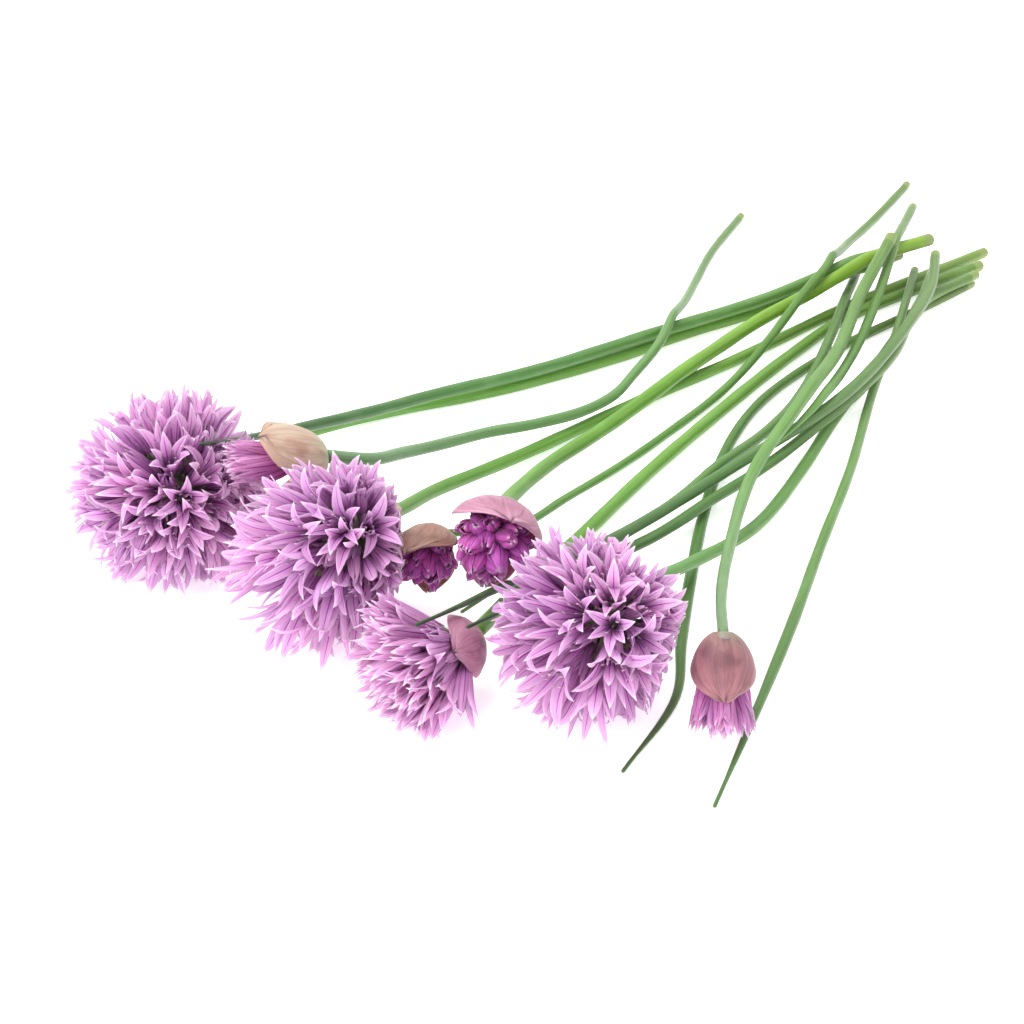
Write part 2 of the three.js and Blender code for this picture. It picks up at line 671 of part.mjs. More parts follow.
// A papery bract: a thin pointed piece of an egg-shaped shell that opens round the head
function bractSolid(bract, head, grow = 0) {
  const open = !head.egg && head.fan > 90;
  const axis = open ? head.stem : head.axis;
  const [half, girth] = bract.egg ?? head.egg.map((size) => size + BRACT_ROOM + BRACT_THICKNESS);
  const behind = head.egg ? BRACT_ROOM : HALF_BLOOM_BRACT_DROP;
  const base = head.base.clone()
    .addScaledVector(axis, open ? head.core + BLOOM_BRACT_GAP : -behind);
  const upper = UP.clone().addScaledVector(axis, -UP.dot(axis)).normalize();
  const side = new THREE.Vector3().crossVectors(axis, upper);
  const rows = BRACT_GRID;
  const columns = BRACT_GRID;
  const middle = THREE.MathUtils.degToRad(bract.around);
  const first = Math.asin((bract.opening ?? STALK_OPENING) / girth) - grow / girth;
  const last = THREE.MathUtils.degToRad(bract.end) + grow / girth;
  const shell = (inset) => {
    const points = [];
    for (let row = 0; row < rows; row += 1) {
      const share = row / (rows - 1);
      const turn = THREE.MathUtils.lerp(first, last, share);
      const width = (1 - share ** (bract.point ?? BRACT_POINT)) ** BRACT_ROUNDING + BRACT_TIP;
      const spread = THREE.MathUtils.degToRad(bract.spread) * width + grow / girth;
      for (let column = 0; column < columns; column += 1) {
        const angle = middle + spread * ((2 * column) / (columns - 1) - 1);
        const radius = (girth - inset) * Math.sin(turn);
        points.push(base.clone()
          .addScaledVector(axis, half - (half - inset) * Math.cos(turn))
          .addScaledVector(upper, Math.cos(angle) * radius)
          .addScaledVector(side, Math.sin(angle) * radius));
      }
    }
    return points;
  };
  const points = [...shell(-grow), ...shell(BRACT_THICKNESS + grow)];
  const size = rows * columns;
  const corners = [];
  const quad = (a, b, c, d) => corners.push(a, b, c, a, c, d);
  for (let row = 0; row < rows - 1; row += 1) {
    for (let column = 0; column < columns - 1; column += 1) {
      const a = row * columns + column;
      quad(a, a + 1, a + columns + 1, a + columns);
      quad(size + a, size + a + columns, size + a + columns + 1, size + a + 1);
    }
  }
  const lastRow = (rows - 1) * columns;
  for (let column = 0; column < columns - 1; column += 1) {
    quad(column, size + column, size + column + 1, column + 1);
    quad(lastRow + column, lastRow + column + 1, size + lastRow + column + 1,
      size + lastRow + column);
  }
  for (let row = 0; row < rows - 1; row += 1) {
    const a = row * columns;
    const b = a + columns - 1;
    quad(a, a + columns, size + a + columns, size + a);
    quad(b, size + b, size + b + columns, b + columns);
  }
  return solidFrom(points, corners);
}

// Puts a named mesh in the group, turned the right way out
function addMesh(group, name, geometry, material) {
  const position = geometry.getAttribute('position');
  const index = geometry.getIndex().array;
  const [a, b, c] = [new THREE.Vector3(), new THREE.Vector3(), new THREE.Vector3()];
  let volume = 0;
  for (let i = 0; i < index.length; i += 3) {
    a.fromBufferAttribute(position, index[i]);
    b.fromBufferAttribute(position, index[i + 1]);
    c.fromBufferAttribute(position, index[i + 2]);
    volume += a.dot(b.cross(c));
  }
  if (volume < 0) {
    geometry.setIndex([...index].reverse());
    geometry.computeVertexNormals();
  }
  const mesh = new THREE.Mesh(geometry, material);
  mesh.name = name;
  group.add(mesh);
}

// Lays the stalks, then gives every head its real axis from the stalk that carries it
const laid = [];
for (const stalk of STALKS) {
  laid.push(layStalk(stalk, laid));
}

const heads = HEADS.map((head) => {
  const stalk = laid.find((one) => one.name === head.stalk);
  const along = new THREE.Vector3().subVectors(stalk.stations[STEM_STATION], stalk.stations[0]);
  const axis = head.axis ? new THREE.Vector3(...head.axis) : along.clone().negate();
  const wraps = BRACTS.filter((bract) => bract.head === head.name).map((bract) => bract.end);
  return {
    ahead: 0,
    ...head,
    base: new THREE.Vector3(...head.base),
    axis: axis.normalize(),
    stem: along.normalize(),
    wrap: THREE.MathUtils.degToRad(Math.max(90, ...wraps)),
  };
});

const group = new THREE.Group();
group.name = 'chive_bunch';
for (const stalk of laid) {
  addMesh(group, stalk.name, stalkSolid(stalk), stalkMaterial(stalk.colour));
}
for (const head of heads) {
  addMesh(group, head.name, headSolid(head, heads, laid), petalMaterial(head.colour));
}
for (const bract of BRACTS) {
  const head = heads.find((one) => one.name === bract.head);
  addMesh(group, bract.name, bractSolid(bract, head), bractMaterial(bract.colour));
}

// Shifts the whole bunch so that the middle of its footprint is the origin
const box = new THREE.Box3().setFromObject(group);
const middle = box.getCenter(new THREE.Vector3());
for (const mesh of group.children) {
  mesh.geometry.translate(-middle.x, -middle.y, -box.min.z);
}

export default group;
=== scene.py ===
"""The finished look of a loose bunch of flowering chives that lies on a pale table.

Every stalk, leaf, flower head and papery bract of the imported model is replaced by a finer
piece of the same form. Lengths are in millimetres until a mesh is made, and Z is up. The
stalks run along X, with the flower heads at the low end of X.
"""

import logging
import math
from dataclasses import dataclass, field
from enum import Enum, IntEnum

import bpy
import numpy as np
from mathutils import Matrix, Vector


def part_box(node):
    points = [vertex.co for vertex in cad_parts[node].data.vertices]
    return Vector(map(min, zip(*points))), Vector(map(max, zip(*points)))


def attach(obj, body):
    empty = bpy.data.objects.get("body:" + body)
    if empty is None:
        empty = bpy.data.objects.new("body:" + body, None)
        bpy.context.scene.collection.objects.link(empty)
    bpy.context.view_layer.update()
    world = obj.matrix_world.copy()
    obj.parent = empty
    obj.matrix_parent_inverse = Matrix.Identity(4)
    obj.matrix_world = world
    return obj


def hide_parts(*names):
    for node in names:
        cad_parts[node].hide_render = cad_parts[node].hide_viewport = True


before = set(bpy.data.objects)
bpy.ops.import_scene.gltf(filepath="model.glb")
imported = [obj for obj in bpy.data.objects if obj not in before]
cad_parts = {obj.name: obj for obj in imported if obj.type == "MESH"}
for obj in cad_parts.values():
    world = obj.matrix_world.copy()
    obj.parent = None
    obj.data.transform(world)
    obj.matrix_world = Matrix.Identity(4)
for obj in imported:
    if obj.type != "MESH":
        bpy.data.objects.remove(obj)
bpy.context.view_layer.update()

log = logging.getLogger("chives")

MM = 0.001
DRESSED = "_dressed"
UP = np.array((0.0, 0.0, 1.0))

# How the stalks and leaves lie
STATION_STEP = 2.5
LYING_GAP = 0.6
CROSSING_SLACK = 0.6
SAG = 0.016
SETTLING_ROUNDS = 6000
EASING_ROUNDS = 30
THICKENING = 1.6
LEAF_TAPER = 0.2
LEAF_TIP_POWER = 0.6
LEAF_TIP_RADIUS = 0.35
LEAF_TIP_TURNS = (60, 85)
CURVE_SAMPLES = 201
DENSE_STEP = 1 / 3

# The uneven skin of a stalk, and the rings of its hollow cut end. Each ring has its place as
# a share of the bore's depth, and its size as a share of the stalk's radius.
SKIN_WAVE = 0.02
SKIN_WAVE_TURN = 0.9
SKIN_FLAT = 0.012
BORE_DEPTH = 4.0
CUT_RINGS = ((-0.08, 0.9), (-0.02, 0.74), (0.3, 0.6105), (1, 0.495))

# How the heads give way to what is beside them
SOCKET_GAP = 0.35
STALK_CONE = math.radians(32)
HEAD_GAP = 0.2
PRESS_DEPTH = 3.0
LEAF_GAP = 0.35
LEAF_REACH = 6.0
FLORET_GIRTH = 2.2
STEERING_STEPS = 12
STEERING_SHARE = 0.6
COVERING_REACH = 1.1
CONE_START = 0.7
STEM_STATION = 4
FIRM_SHARE = 0.72

# The outlines of the buds and of the half-open bloom
BUD_SWELL = 0.6
BUD_REACH = 1.72
MOUTH_REACH = 1.72
MOUTH_FLARE = 0.16
HALF_BLOOM_EDGE = math.tan(math.radians(8))
HALF_BLOOM_MIDDLE = 0.5
HALF_BLOOM_GIRTH = 0.6

# Where the bracts stand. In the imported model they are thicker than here.
BRACT_ROOM = 1.0
CAD_BRACT_THICKNESS = 0.65
BLOOM_BRACT_DROP = 0.5
HALF_BLOOM_BRACT_DROP = 2.5
BRACT_PRESS_DEPTH = 0.6

# The frayed end, uneven sides and pleats of a bract. Each has its height, which is a share for
# the ends and sides and in millimetres for the pleats, and its turns.
COARSE_FRAY = (0.025, 9)
FINE_FRAY = (0.015, 23)
SIDE_WAVE = (0.04, 13)
WIDE_PLEAT = (0.1, 5)
FINE_PLEAT = (0.06, 17)
PLEAT_DRIFT = 2
TIP_RIPPLE = (0.25, 7)
TIP_RIPPLE_POWER = 6
BRACT_TAPER = 0.8
BRACT_TIP_WIDTH = 0.05

# How the florets of a head are spread
GOLDEN_ANGLE = math.pi * (3 - math.sqrt(5))
TURN_SCATTER = 0.12
AIM_SCATTER = 0.04
NOD = 0.1
REACH_SPREAD = (0.94, 1.03)
FOOT_SPREAD = (0.85, 1.15)
FOOT_IN_CORE = 0.6
YOUNG_REACHES = (0.76, 0.54)
PETAL_OVERREACH = 1.015

# The knob that the florets' stems spring from, by whether the head is closed
KNOB_SIZE = {True: 1.6, False: 3.0}
KNOB_TURNS = np.radians((-78, -45, -15, 15, 45, 78))
KNOB_SIDES = 14

# The petals of a floret. Insets, radii and heights are in millimetres, and the rest are
# shares or angles.
PETAL_COUNT = 6
WIDEST = 0.5
NARROWING = 0.42
OPENNESS = (0.7, 1.25)
LEAN_POWER = 1.6
CURL_START = 0.45
CURL_POWER = 1.5
CURL_GAIN = 2.2
PETAL_LENGTHS = (0.93, 1.05)
INNER_SHORTER = 0.05
INNER_INSET = 0.12
WIDTH_GAIN = 1.06
INNER_NARROWER = 0.16
LEAST_RADIUS = 1.25
BEND_SCATTER = 0.09
TWIST_SCATTER = 0.22
CHANNEL_DEPTH = 0.3
KEEL_HEIGHT = 0.1
KEEL_NARROWNESS = 3
EDGE_THINNING = 0.55
TIP_THINNING = 0.45
PETAL_TIP_WIDTH = 0.03

# The threads of a floret, with their radii from foot to tip
PEDICEL_RADII = np.array((0.3, 0.27, 0.27, 0.36, 0.6))
PEDICEL_SIDES = 6
PEDICEL_START = 0.1
PEDICEL_RUN = 0.96
FILAMENT_RADII = np.array((0.2, 0.11, 0.08, 0.06))
FILAMENT_SIDES = 3
FILAMENT_THROAT = 0.45
FILAMENT_FOOT = 0.06
FILAMENT_BEND = 1.4
FILAMENT_SPREAD = (0.8, 1.5)
FILAMENT_HEIGHTS = (0.5, 0.72)
ANTHER_PLACES = np.array((-0.4, 0.0, 0.4))
ANTHER_RADII = np.array((0.08, 0.2, 0.08))
ANTHER_SIDES = 5
ANTHER_TILT = 0.4
PISTIL_PLACES = np.array((0.02, 0.06, 0.13, 0.19, 0.23, 0.26, 0.4, 0.55))
PISTIL_RADII = np.array((0.3, 0.75, 0.92, 0.75, 0.35, 0.1, 0.08, 0.09))
PISTIL_SIDES = 7


class Form(Enum):
    """How far a flower head is open."""

    BLOOM = "open all round"
    HALF_BLOOM = "open to one side"
    OPENING_BUD = "spreading at the mouth of its bracts"
    BUD = "still closed"


class Part(IntEnum):
    """The parts of a head, numbered as the finishes on its piece."""

    PETALS = 0
    PEDICEL = 1
    FILAMENT = 2
    ANTHER = 3
    OVARY = 4
    YOUNG_PETALS = 5


def linear(colour: str) -> tuple[float, float, float, float]:
    """The linear colour of a screen colour.

    Args:
        colour: The screen colour as six hexadecimal digits.

    Returns:
        Red, green, blue and alpha.
    """
    shares = [int(colour[i:i + 2], 16) / 255 for i in (0, 2, 4)]
    red, green, blue = [s / 12.92 if s < 0.04045 else ((s + 0.055) / 1.055) ** 2.4 for s in shares]
    return red, green, blue, 1.0


def unit(vectors: np.ndarray) -> np.ndarray:
    """The same vectors at length one."""
    return vectors / np.maximum(np.linalg.norm(vectors, axis=-1, keepdims=True), 1e-9)


def seeded(name: str) -> np.random.Generator:
    """A repeatable source of random numbers for a piece.

    Args:
        name: The piece's name.

    Returns:
        The source.
    """
    seed = 7
    for letter in name:
        seed = seed * 31 % 99991 + ord(letter)
    return np.random.default_rng(seed)


def bases(directions: np.ndarray, turns: np.ndarray) -> np.ndarray:
    """Frames whose third axis runs along each direction.

    Args:
        directions: Unit vectors, one a row.
        turns: The angle by which each frame is turned about its direction.

    Returns:
        One matrix for each direction, with the three axes as its columns.
    """
    helper = np.where(np.abs(directions[:, 2:3]) < 0.9, UP, np.array((1.0, 0.0, 0.0)))
    side = unit(np.cross(helper, directions))
    other = np.cross(directions, side)
    c = np.cos(turns)[:, None]
    s = np.sin(turns)[:, None]
    return np.stack([side * c + other * s, other * c - side * s, directions], axis=-1)


def wave(places: np.ndarray, height: float, turns: float, random: np.random.Generator) -> np.ndarray:
    """A wave that starts at a chance place.

    Args:
        places: Where it is wanted.
        height: Its height.
        turns: How fast it turns along the places, in radians.
        random: The piece's source of random numbers.

    Returns:
        The wave at each place.
    """
    return height * np.sin(places * turns + random.uniform(0, 6))


def sheet_faces(rows: int, columns: int) -> np.ndarray:
    """Faces of a thin closed sheet whose outer layer of points comes before its inner one."""
    grid = np.arange(rows * columns).reshape(rows, columns)
    a, b, c, d = grid[:-1, :-1], grid[:-1, 1:], grid[1:, 1:], grid[1:, :-1]
    outer = np.stack([a, b, c, d], axis=-1).reshape(-1, 4)
    inner = outer[:, ::-1] + rows * columns
    rim = np.concatenate([grid[0, :-1], grid[:-1, -1], grid[-1, :0:-1], grid[:0:-1, 0]])
    after = np.roll(rim, -1)
    edge = np.stack([after, rim, rim + rows * columns, after + rows * columns], axis=-1)
    return np.concatenate([outer, inner, edge])


def tube_faces(rows: int, sides: int) -> tuple[np.ndarray, np.ndarray]:
    """Faces of a closed tube: those round its side, and the two that close its ends."""
    grid = np.arange(rows * sides).reshape(rows, sides)
    beside = np.roll(grid, -1, axis=1)
    round_it = np.stack([grid[:-1], beside[:-1], beside[1:], grid[1:]], axis=-1).reshape(-1, 4)
    return round_it, np.stack([grid[0, ::-1], grid[-1]])


@dataclass
class Shells:
    """Closed shells that are gathered into one mesh."""

    points: list[np.ndarray] = field(default_factory=list)
    faces: list[np.ndarray] = field(default_factory=list)
    finishes: list[int] = field(default_factory=list)
    tints: list[np.ndarray] = field(default_factory=list)
    count: int = 0

    def add(self, points: np.ndarray, faces: list[np.ndarray], tint: np.ndarray, finish: int) -> None:
        """Adds shells that are alike.

        Args:
            points: Shell, point and coordinate.
            faces: Groups of faces of one shell, each group with as many corners a face.
            tint: Three values for each point, which the finish reads.
            finish: The number of the finish on the piece.
        """
        shells, size = points.shape[:2]
        starts = self.count + size * np.arange(shells)
        for group in faces:
            self.faces.append((group[None] + starts[:, None, None]).reshape(-1, group.shape[1]))
            self.finishes.append(finish)
        self.points.append(points.reshape(-1, 3))
        self.tints.append(np.broadcast_to(tint, (*points.shape[:2], 3)).reshape(-1, 3))
        self.count += shells * size

    def piece(self, name: str, shift: np.ndarray, finishes: list[bpy.types.Material]) -> bpy.types.Object:
        """Makes the piece in the scene.

        Args:
            name: The piece's name.
            shift: What is taken from each point to bring it into the frame.
            finishes: The piece's materials.

        Returns:
            The new object.
        """
        points = (np.concatenate(self.points) - shift) * MM
        mesh = bpy.data.meshes.new(name)
        mesh.from_pydata(points.tolist(), [], [face for group in self.faces for face in group.tolist()])
        numbers = [np.full(len(group), finish) for group, finish in zip(self.faces, self.finishes)]
        mesh.polygons.foreach_set("material_index", np.concatenate(numbers).astype(np.int32))
        mesh.polygons.foreach_set("use_smooth", np.ones(len(mesh.polygons), dtype=bool))
        tint = mesh.attributes.new("tint", "FLOAT_COLOR", "POINT")
        flat = np.concatenate(self.tints)
        tint.data.foreach_set("color", np.column_stack([flat, np.ones(len(flat))]).ravel())
        for finish in finishes:
            mesh.materials.append(finish)
        mesh.update()
        piece = bpy.data.objects.new(name, mesh)
        bpy.context.scene.collection.objects.link(piece)
        return piece


def add_tubes(shells: Shells, paths: np.ndarray, radii: np.ndarray, sides: int, chance: np.ndarray,
              finish: int) -> None:
    """Adds round closed threads.

    Args:
        shells: What the threads are added to.
        paths: Thread, place along it and coordinate.
        radii: Radius at each place, the same for all threads or one row for each.
        sides: Sides of a thread.
        chance: One value a thread, which the finish reads.
        finish: The number of the finish on the piece.
    """
    threads, rows = paths.shape[:2]
    axes = bases(unit(paths[:, -1] - paths[:, 0]), np.zeros(threads))
    angles = 2 * math.pi * np.arange(sides) / sides
    ring = np.cos(angles)[:, None] * axes[:, None, :, 0] + np.sin(angles)[:, None] * axes[:, None, :, 1]
    radii = np.broadcast_to(radii, (threads, rows))
    points = paths[:, :, None] + ring[:, None] * radii[:, :, None, None]
    tint = np.zeros((threads, rows, sides, 3))
    tint[..., 0] = 0.5 + 0.5 * np.cos(angles)
    tint[..., 1] = np.linspace(0, 1, rows)[None, :, None]
    tint[..., 2] = chance[:, None, None]
    shells.add(points.reshape(threads, -1, 3), list(tube_faces(rows, sides)),
               tint.reshape(threads, -1, 3), finish)


class Graph:
    """The node tree of one finish."""

    def __init__(self, name: str) -> None:
        """Starts an empty node tree."""
        self.material = bpy.data.materials.new(name)
        self.material.use_nodes = True
        self.tree = self.material.node_tree
        self.tree.nodes.clear()

    def add(self, kind: str, inputs: dict[str | int, object] | None = None,
            **settings: object) -> bpy.types.Node:
        """Adds a node.

        Args:
            kind: The node's type, without the word that all shader nodes start with.
            inputs: What goes into its sockets: an output to link, or a value to set.
            settings: Its other properties.

        Returns:
            The node.
        """
        node = self.tree.nodes.new("ShaderNode" + kind)
        for name, value in settings.items():
            setattr(node, name, value)
        for name, value in (inputs or {}).items():
            if isinstance(value, bpy.types.NodeSocket):
                self.tree.links.new(value, node.inputs[name])
            else:
                node.inputs[name].default_value = value
        return node

    def tint(self) -> tuple[bpy.types.NodeSocket, bpy.types.NodeSocket, bpy.types.NodeSocket]:
        """The three values that each point of the mesh carries."""
        stored = self.add("Attribute", attribute_name="tint")
        split = self.add("SeparateColor", {"Color": stored.outputs["Color"]})
        return split.outputs[0], split.outputs[1], split.outputs[2]

    def math(self, operation: str, first: object, second: object = 0.0) -> bpy.types.NodeSocket:
        """The result of a sum or other operation on two values."""
        return self.add("Math", {0: first, 1: second}, operation=operation).outputs[0]

    def fade(self, value: bpy.types.NodeSocket, start: float, end: float,
             first: float = 0.0, last: float = 1.0) -> bpy.types.NodeSocket:
        """A smooth step from one level to another.

        Args:
            value: What the step follows.
            start: The value at which it begins.
            end: The value at which it ends.
            first: The level before it.
            last: The level after it.

        Returns:
            The level.
        """
        return self.add("MapRange", {"Value": value, "From Min": start, "From Max": end,
                                     "To Min": first, "To Max": last},
                        interpolation_type="SMOOTHSTEP").outputs[0]

    def mix(self, factor: object, first: object, second: object, how: str = "MIX") -> bpy.types.NodeSocket:
        """One colour laid over another.

        Args:
            factor: How much of the second shows.
            first: The colour below.
            second: The colour above.
            how: The blend.

        Returns:
            The mixed colour.
        """
        node = self.add("Mix", data_type="RGBA", blend_type=how)
        for socket, value in ((0, factor), (6, first), (7, second)):
            if isinstance(value, bpy.types.NodeSocket):
                self.tree.links.new(value, node.inputs[socket])
            else:
                node.inputs[socket].default_value = value
        return node.outputs[2]

    def ramp(self, value: bpy.types.NodeSocket, stops: list[tuple[float, str]]) -> bpy.types.NodeSocket:
        """A run of colours.

        Args:
            value: What the run follows.
            stops: Each place on the run with its colour.

        Returns:
            The colour.
        """
        node = self.add("ValToRGB", {"Fac": value})
        elements = node.color_ramp.elements
        while len(elements) < len(stops):
            elements.new(0.5)
        for element, (place, colour) in zip(elements, stops):
            element.position = place
            element.color = linear(colour)
        return node.outputs["Color"]

    def streaks(self, across: bpy.types.NodeSocket, along: bpy.types.NodeSocket,
                chance: bpy.types.NodeSocket, scale: tuple[float, float]) -> bpy.types.NodeSocket:
        """Noise drawn out along a piece.

        Args:
            across: The place across the piece.
            along: The place along it.
            chance: What sets one piece apart from the next.
            scale: How often the noise changes across and along the piece.

        Returns:
            The noise.
        """
        spread = {0: self.math("MULTIPLY", across, scale[0]), 1: self.math("MULTIPLY", along, scale[1]),
                  2: self.math("MULTIPLY", chance, 50.0)}
        place = self.add("CombineXYZ", spread)
        noise = self.add("TexNoise", {"Vector": place.outputs[0], "Scale": 1.0, "Detail": 4.0})
        return noise.outputs[0]

    def bump(self, height: bpy.types.NodeSocket, strength: float, depth: float) -> bpy.types.NodeSocket:
        """A fine relief.

        Args:
            height: The relief from 0 to 1.
            strength: How strongly it shows.
            depth: Its depth in metres.

        Returns:
            The bent normal.
        """
        node = self.add("Bump", {"Height": height, "Strength": strength, "Distance": depth})
        return node.outputs[0]

    def finish(self, inputs: dict[str | int, object]) -> bpy.types.Material:
        """Closes the tree with one surface shader.

        Args:
            inputs: What goes into the shader's sockets.

        Returns:
            The material.
        """
        surface = self.add("BsdfPrincipled", inputs)
        self.add("OutputMaterial", {"Surface": surface.outputs[0]})
        return self.material


@dataclass(frozen=True)
class PetalFinish:
    """A thin petal with a dark midvein, paler edges and a pale tip."""

    name: str
    foot: str
    blade: str
    upper: str
    tip: str
    vein: str
    translucence: float = 0.45

    def material(self) -> bpy.types.Material:
        """The finish as a material."""
        graph = Graph(self.name)
        across, along, chance = graph.tint()
        blade = graph.ramp(along, [(0.0, self.foot), (0.25, self.blade), (0.72, self.upper),
                                   (0.9, self.upper), (1.0, self.tip)])
        off_middle = graph.math("ABSOLUTE", graph.math("SUBTRACT", across, 0.5))
        rim = graph.fade(off_middle, 0.36, 0.5, 0.0, 0.22)
        blade = graph.mix(rim, blade, linear(self.tip))
        streaks = graph.streaks(across, along, chance, (9.0, 1.6))
        blade = graph.mix(graph.fade(streaks, 0.4, 0.75, 0.0, 0.3), blade, linear(self.blade), "MULTIPLY")
        width = graph.fade(along, 0.1, 0.9, 0.05, 0.028)
        vein = graph.math("LESS_THAN", off_middle, width)
        vein = graph.math("MULTIPLY", vein, graph.fade(along, 0.78, 0.98, 0.9, 0.0))
        blade = graph.mix(vein, blade, linear(self.vein))
        hue = graph.math("ADD", graph.math("MULTIPLY", chance, 0.035), 0.4825)
        value = graph.math("ADD", graph.math("MULTIPLY", chance, 0.25), 0.88)
        blade = graph.add("HueSaturation", {"Hue": hue, "Value": value, "Color": blade}).outputs[0]
        normal = graph.bump(graph.math("SUBTRACT", streaks, vein), 0.35, 0.00012)
        return graph.finish({"Base Color": blade, "Roughness": 0.52, "Subsurface Weight": self.translucence,
                             "Subsurface Radius": (1.0, 0.6, 1.0), "Subsurface Scale": 0.0024,
                             "Specular IOR Level": 0.35, "Sheen Weight": 0.12, "Normal": normal})


@dataclass(frozen=True)
class GreenFinish:
    """The smooth waxy skin of a stalk or leaf, with faint ribs, a dry cut end and a highlight painted along
    its top.
    """

    name: str
    start: str
    middle: str
    end: str
    # Pale colour of the wax bloom. It is also the highlight painted along the top.
    wax_and_highlight: str
    cut: str = "829652"
    ribs: float = 16.0

    def material(self) -> bpy.types.Material:
        """The finish as a material."""
        graph = Graph(self.name)
        around, along, chance = graph.tint()
        skin = graph.ramp(along, [(0.0, self.start), (0.42, self.middle), (0.9, self.end)])
        streaks = graph.streaks(around, along, chance, (22.0, 9.0))
        blotches = graph.streaks(around, along, chance, (3.0, 26.0))
        dark = graph.mix(1.0, skin, linear("a9b58a"), "MULTIPLY")
        skin = graph.mix(graph.fade(streaks, 0.35, 0.75, 0.0, 0.5), skin, dark)
        # Random blotches of wax bloom.
        skin = graph.mix(graph.fade(blotches, 0.45, 0.7, 0.0, 0.12), skin, linear(self.wax_and_highlight))
        # Painted highlight: the upper side is lightened towards the wax colour, as if lit from above.
        off_highlit_top = graph.math("ABSOLUTE", graph.math("SUBTRACT", around, 0.5))
        skin = graph.mix(graph.fade(off_highlit_top, 0.02, 0.2, 0.13, 0.0), skin, linear(self.wax_and_highlight))
        skin = graph.mix(graph.fade(along, 0.994, 0.998), skin, linear(self.cut))
        ribs = graph.math("SINE", graph.math("MULTIPLY", around, 2 * math.pi * self.ribs))
        relief = graph.math("ADD", graph.math("MULTIPLY", ribs, 0.18), streaks)
        return graph.finish({"Base Color": skin, "Roughness": 0.4, "Specular IOR Level": 0.42,
                             "Subsurface Weight": 0.12, "Subsurface Radius": (0.5, 1.0, 0.3),
                             "Subsurface Scale": 0.0012, "Sheen Weight": 0.04,
                             "Normal": graph.bump(relief, 0.16, 0.00012)})


@dataclass(frozen=True)
class PaperFinish:
    """A dry papery bract with veins that run to its point."""

    name: str
    foot: str
    body: str
    edge: str
    vein: str
    veins: float = 11.0

    def material(self) -> bpy.types.Material:
        """The finish as a material."""
        graph = Graph(self.name)
        across, along, chance = graph.tint()
        body = graph.ramp(along, [(0.0, self.foot), (0.45, self.body), (0.82, self.body), (1.0, self.edge)])
        mottle = graph.streaks(across, along, chance, (5.0, 2.6))
        body = graph.mix(graph.fade(mottle, 0.42, 0.72, 0.0, 0.55), body, linear(self.edge))
        clouds = graph.streaks(along, across, chance, (3.2, 4.5))
        body = graph.mix(graph.fade(clouds, 0.45, 0.7, 0.0, 0.55), body, linear(self.vein))
        fine = graph.streaks(across, along, chance, (48.0, 2.6))
        body = graph.mix(graph.fade(fine, 0.44, 0.66, 0.0, 0.34), body, linear(self.vein))
        wobble = graph.math("MULTIPLY", mottle, 9.0)
        phase = graph.math("ADD", graph.math("MULTIPLY", across, 2 * math.pi * self.veins), wobble)
        lines = graph.fade(graph.math("SINE", phase), 0.6, 1.0, 0.0, 0.16)
        body = graph.mix(lines, body, linear(self.vein))
        rim = graph.fade(graph.math("ABSOLUTE", graph.math("SUBTRACT", across, 0.5)), 0.42, 0.5, 0.0, 0.4)
        body = graph.mix(rim, body, linear(self.edge))
        relief = graph.math("ADD", fine, lines)
        return graph.finish({"Base Color": body, "Roughness": 0.55, "Specular IOR Level": 0.4,
                             "Subsurface Weight": 0.2, "Subsurface Radius": (1.0, 0.7, 0.6),
                             "Subsurface Scale": 0.001, "Sheen Weight": 0.15,
                             "Normal": graph.bump(relief, 0.5, 0.0002)})


@dataclass(frozen=True)
class ThreadFinish:
    """The finish of pedicels, filaments, anthers and ovaries, whose colour changes along them."""

    name: str
    foot: str
    tip: str
    roughness: float = 0.5

    def material(self) -> bpy.types.Material:
        """The finish as a material."""
        graph = Graph(self.name)
        across, along, chance = graph.tint()
        colour = graph.ramp(along, [(0.0, self.foot), (1.0, self.tip)])
        streaks = graph.streaks(across, along, chance, (4.0, 3.0))
        colour = graph.mix(graph.fade(streaks, 0.4, 0.7, 0.0, 0.3), colour, linear(self.foot))
        return graph.finish({"Base Color": colour, "Roughness": self.roughness, "Specular IOR Level": 0.4,
                             "Subsurface Weight": 0.2, "Subsurface Radius": (1.0, 1.0, 1.0),
                             "Subsurface Scale": 0.0006, "Normal": graph.bump(streaks, 0.3, 0.0001)})


LAVENDER = PetalFinish("lavender petals", "aa68a4", "cf81cb", "df9ad8", "f6dcf0", "6a2472")
HALF_OPEN_PINK = PetalFinish("pink petals", "a65a9c", "d17fc6", "e098d4", "f6d8ee", "76246a")
MAGENTA = PetalFinish("magenta petals", "6a1a5c", "a83a98", "c658b6", "ecc8e4", "561450", 0.2)
BRIGHT_PINK = PetalFinish("bright pink petals", "8c3a7e", "c05eae", "d486c6", "f2d8ea", "84246f", 0.3)
YOUNG_PETALS = PetalFinish("young petals", "9a5a94", "c07cba", "d096ca", "ecc8e6", "7c3474", 0.3)
PEDICEL = ThreadFinish("pedicels", "7f9a52", "9a7f8f")
FILAMENT = ThreadFinish("filaments", "cfa2d2", "f0e2ee")
ANTHER = ThreadFinish("anthers", "b48cae", "dcc6cc", 0.7)
OVARY = ThreadFinish("ovaries", "8aa45a", "d9d2d6")


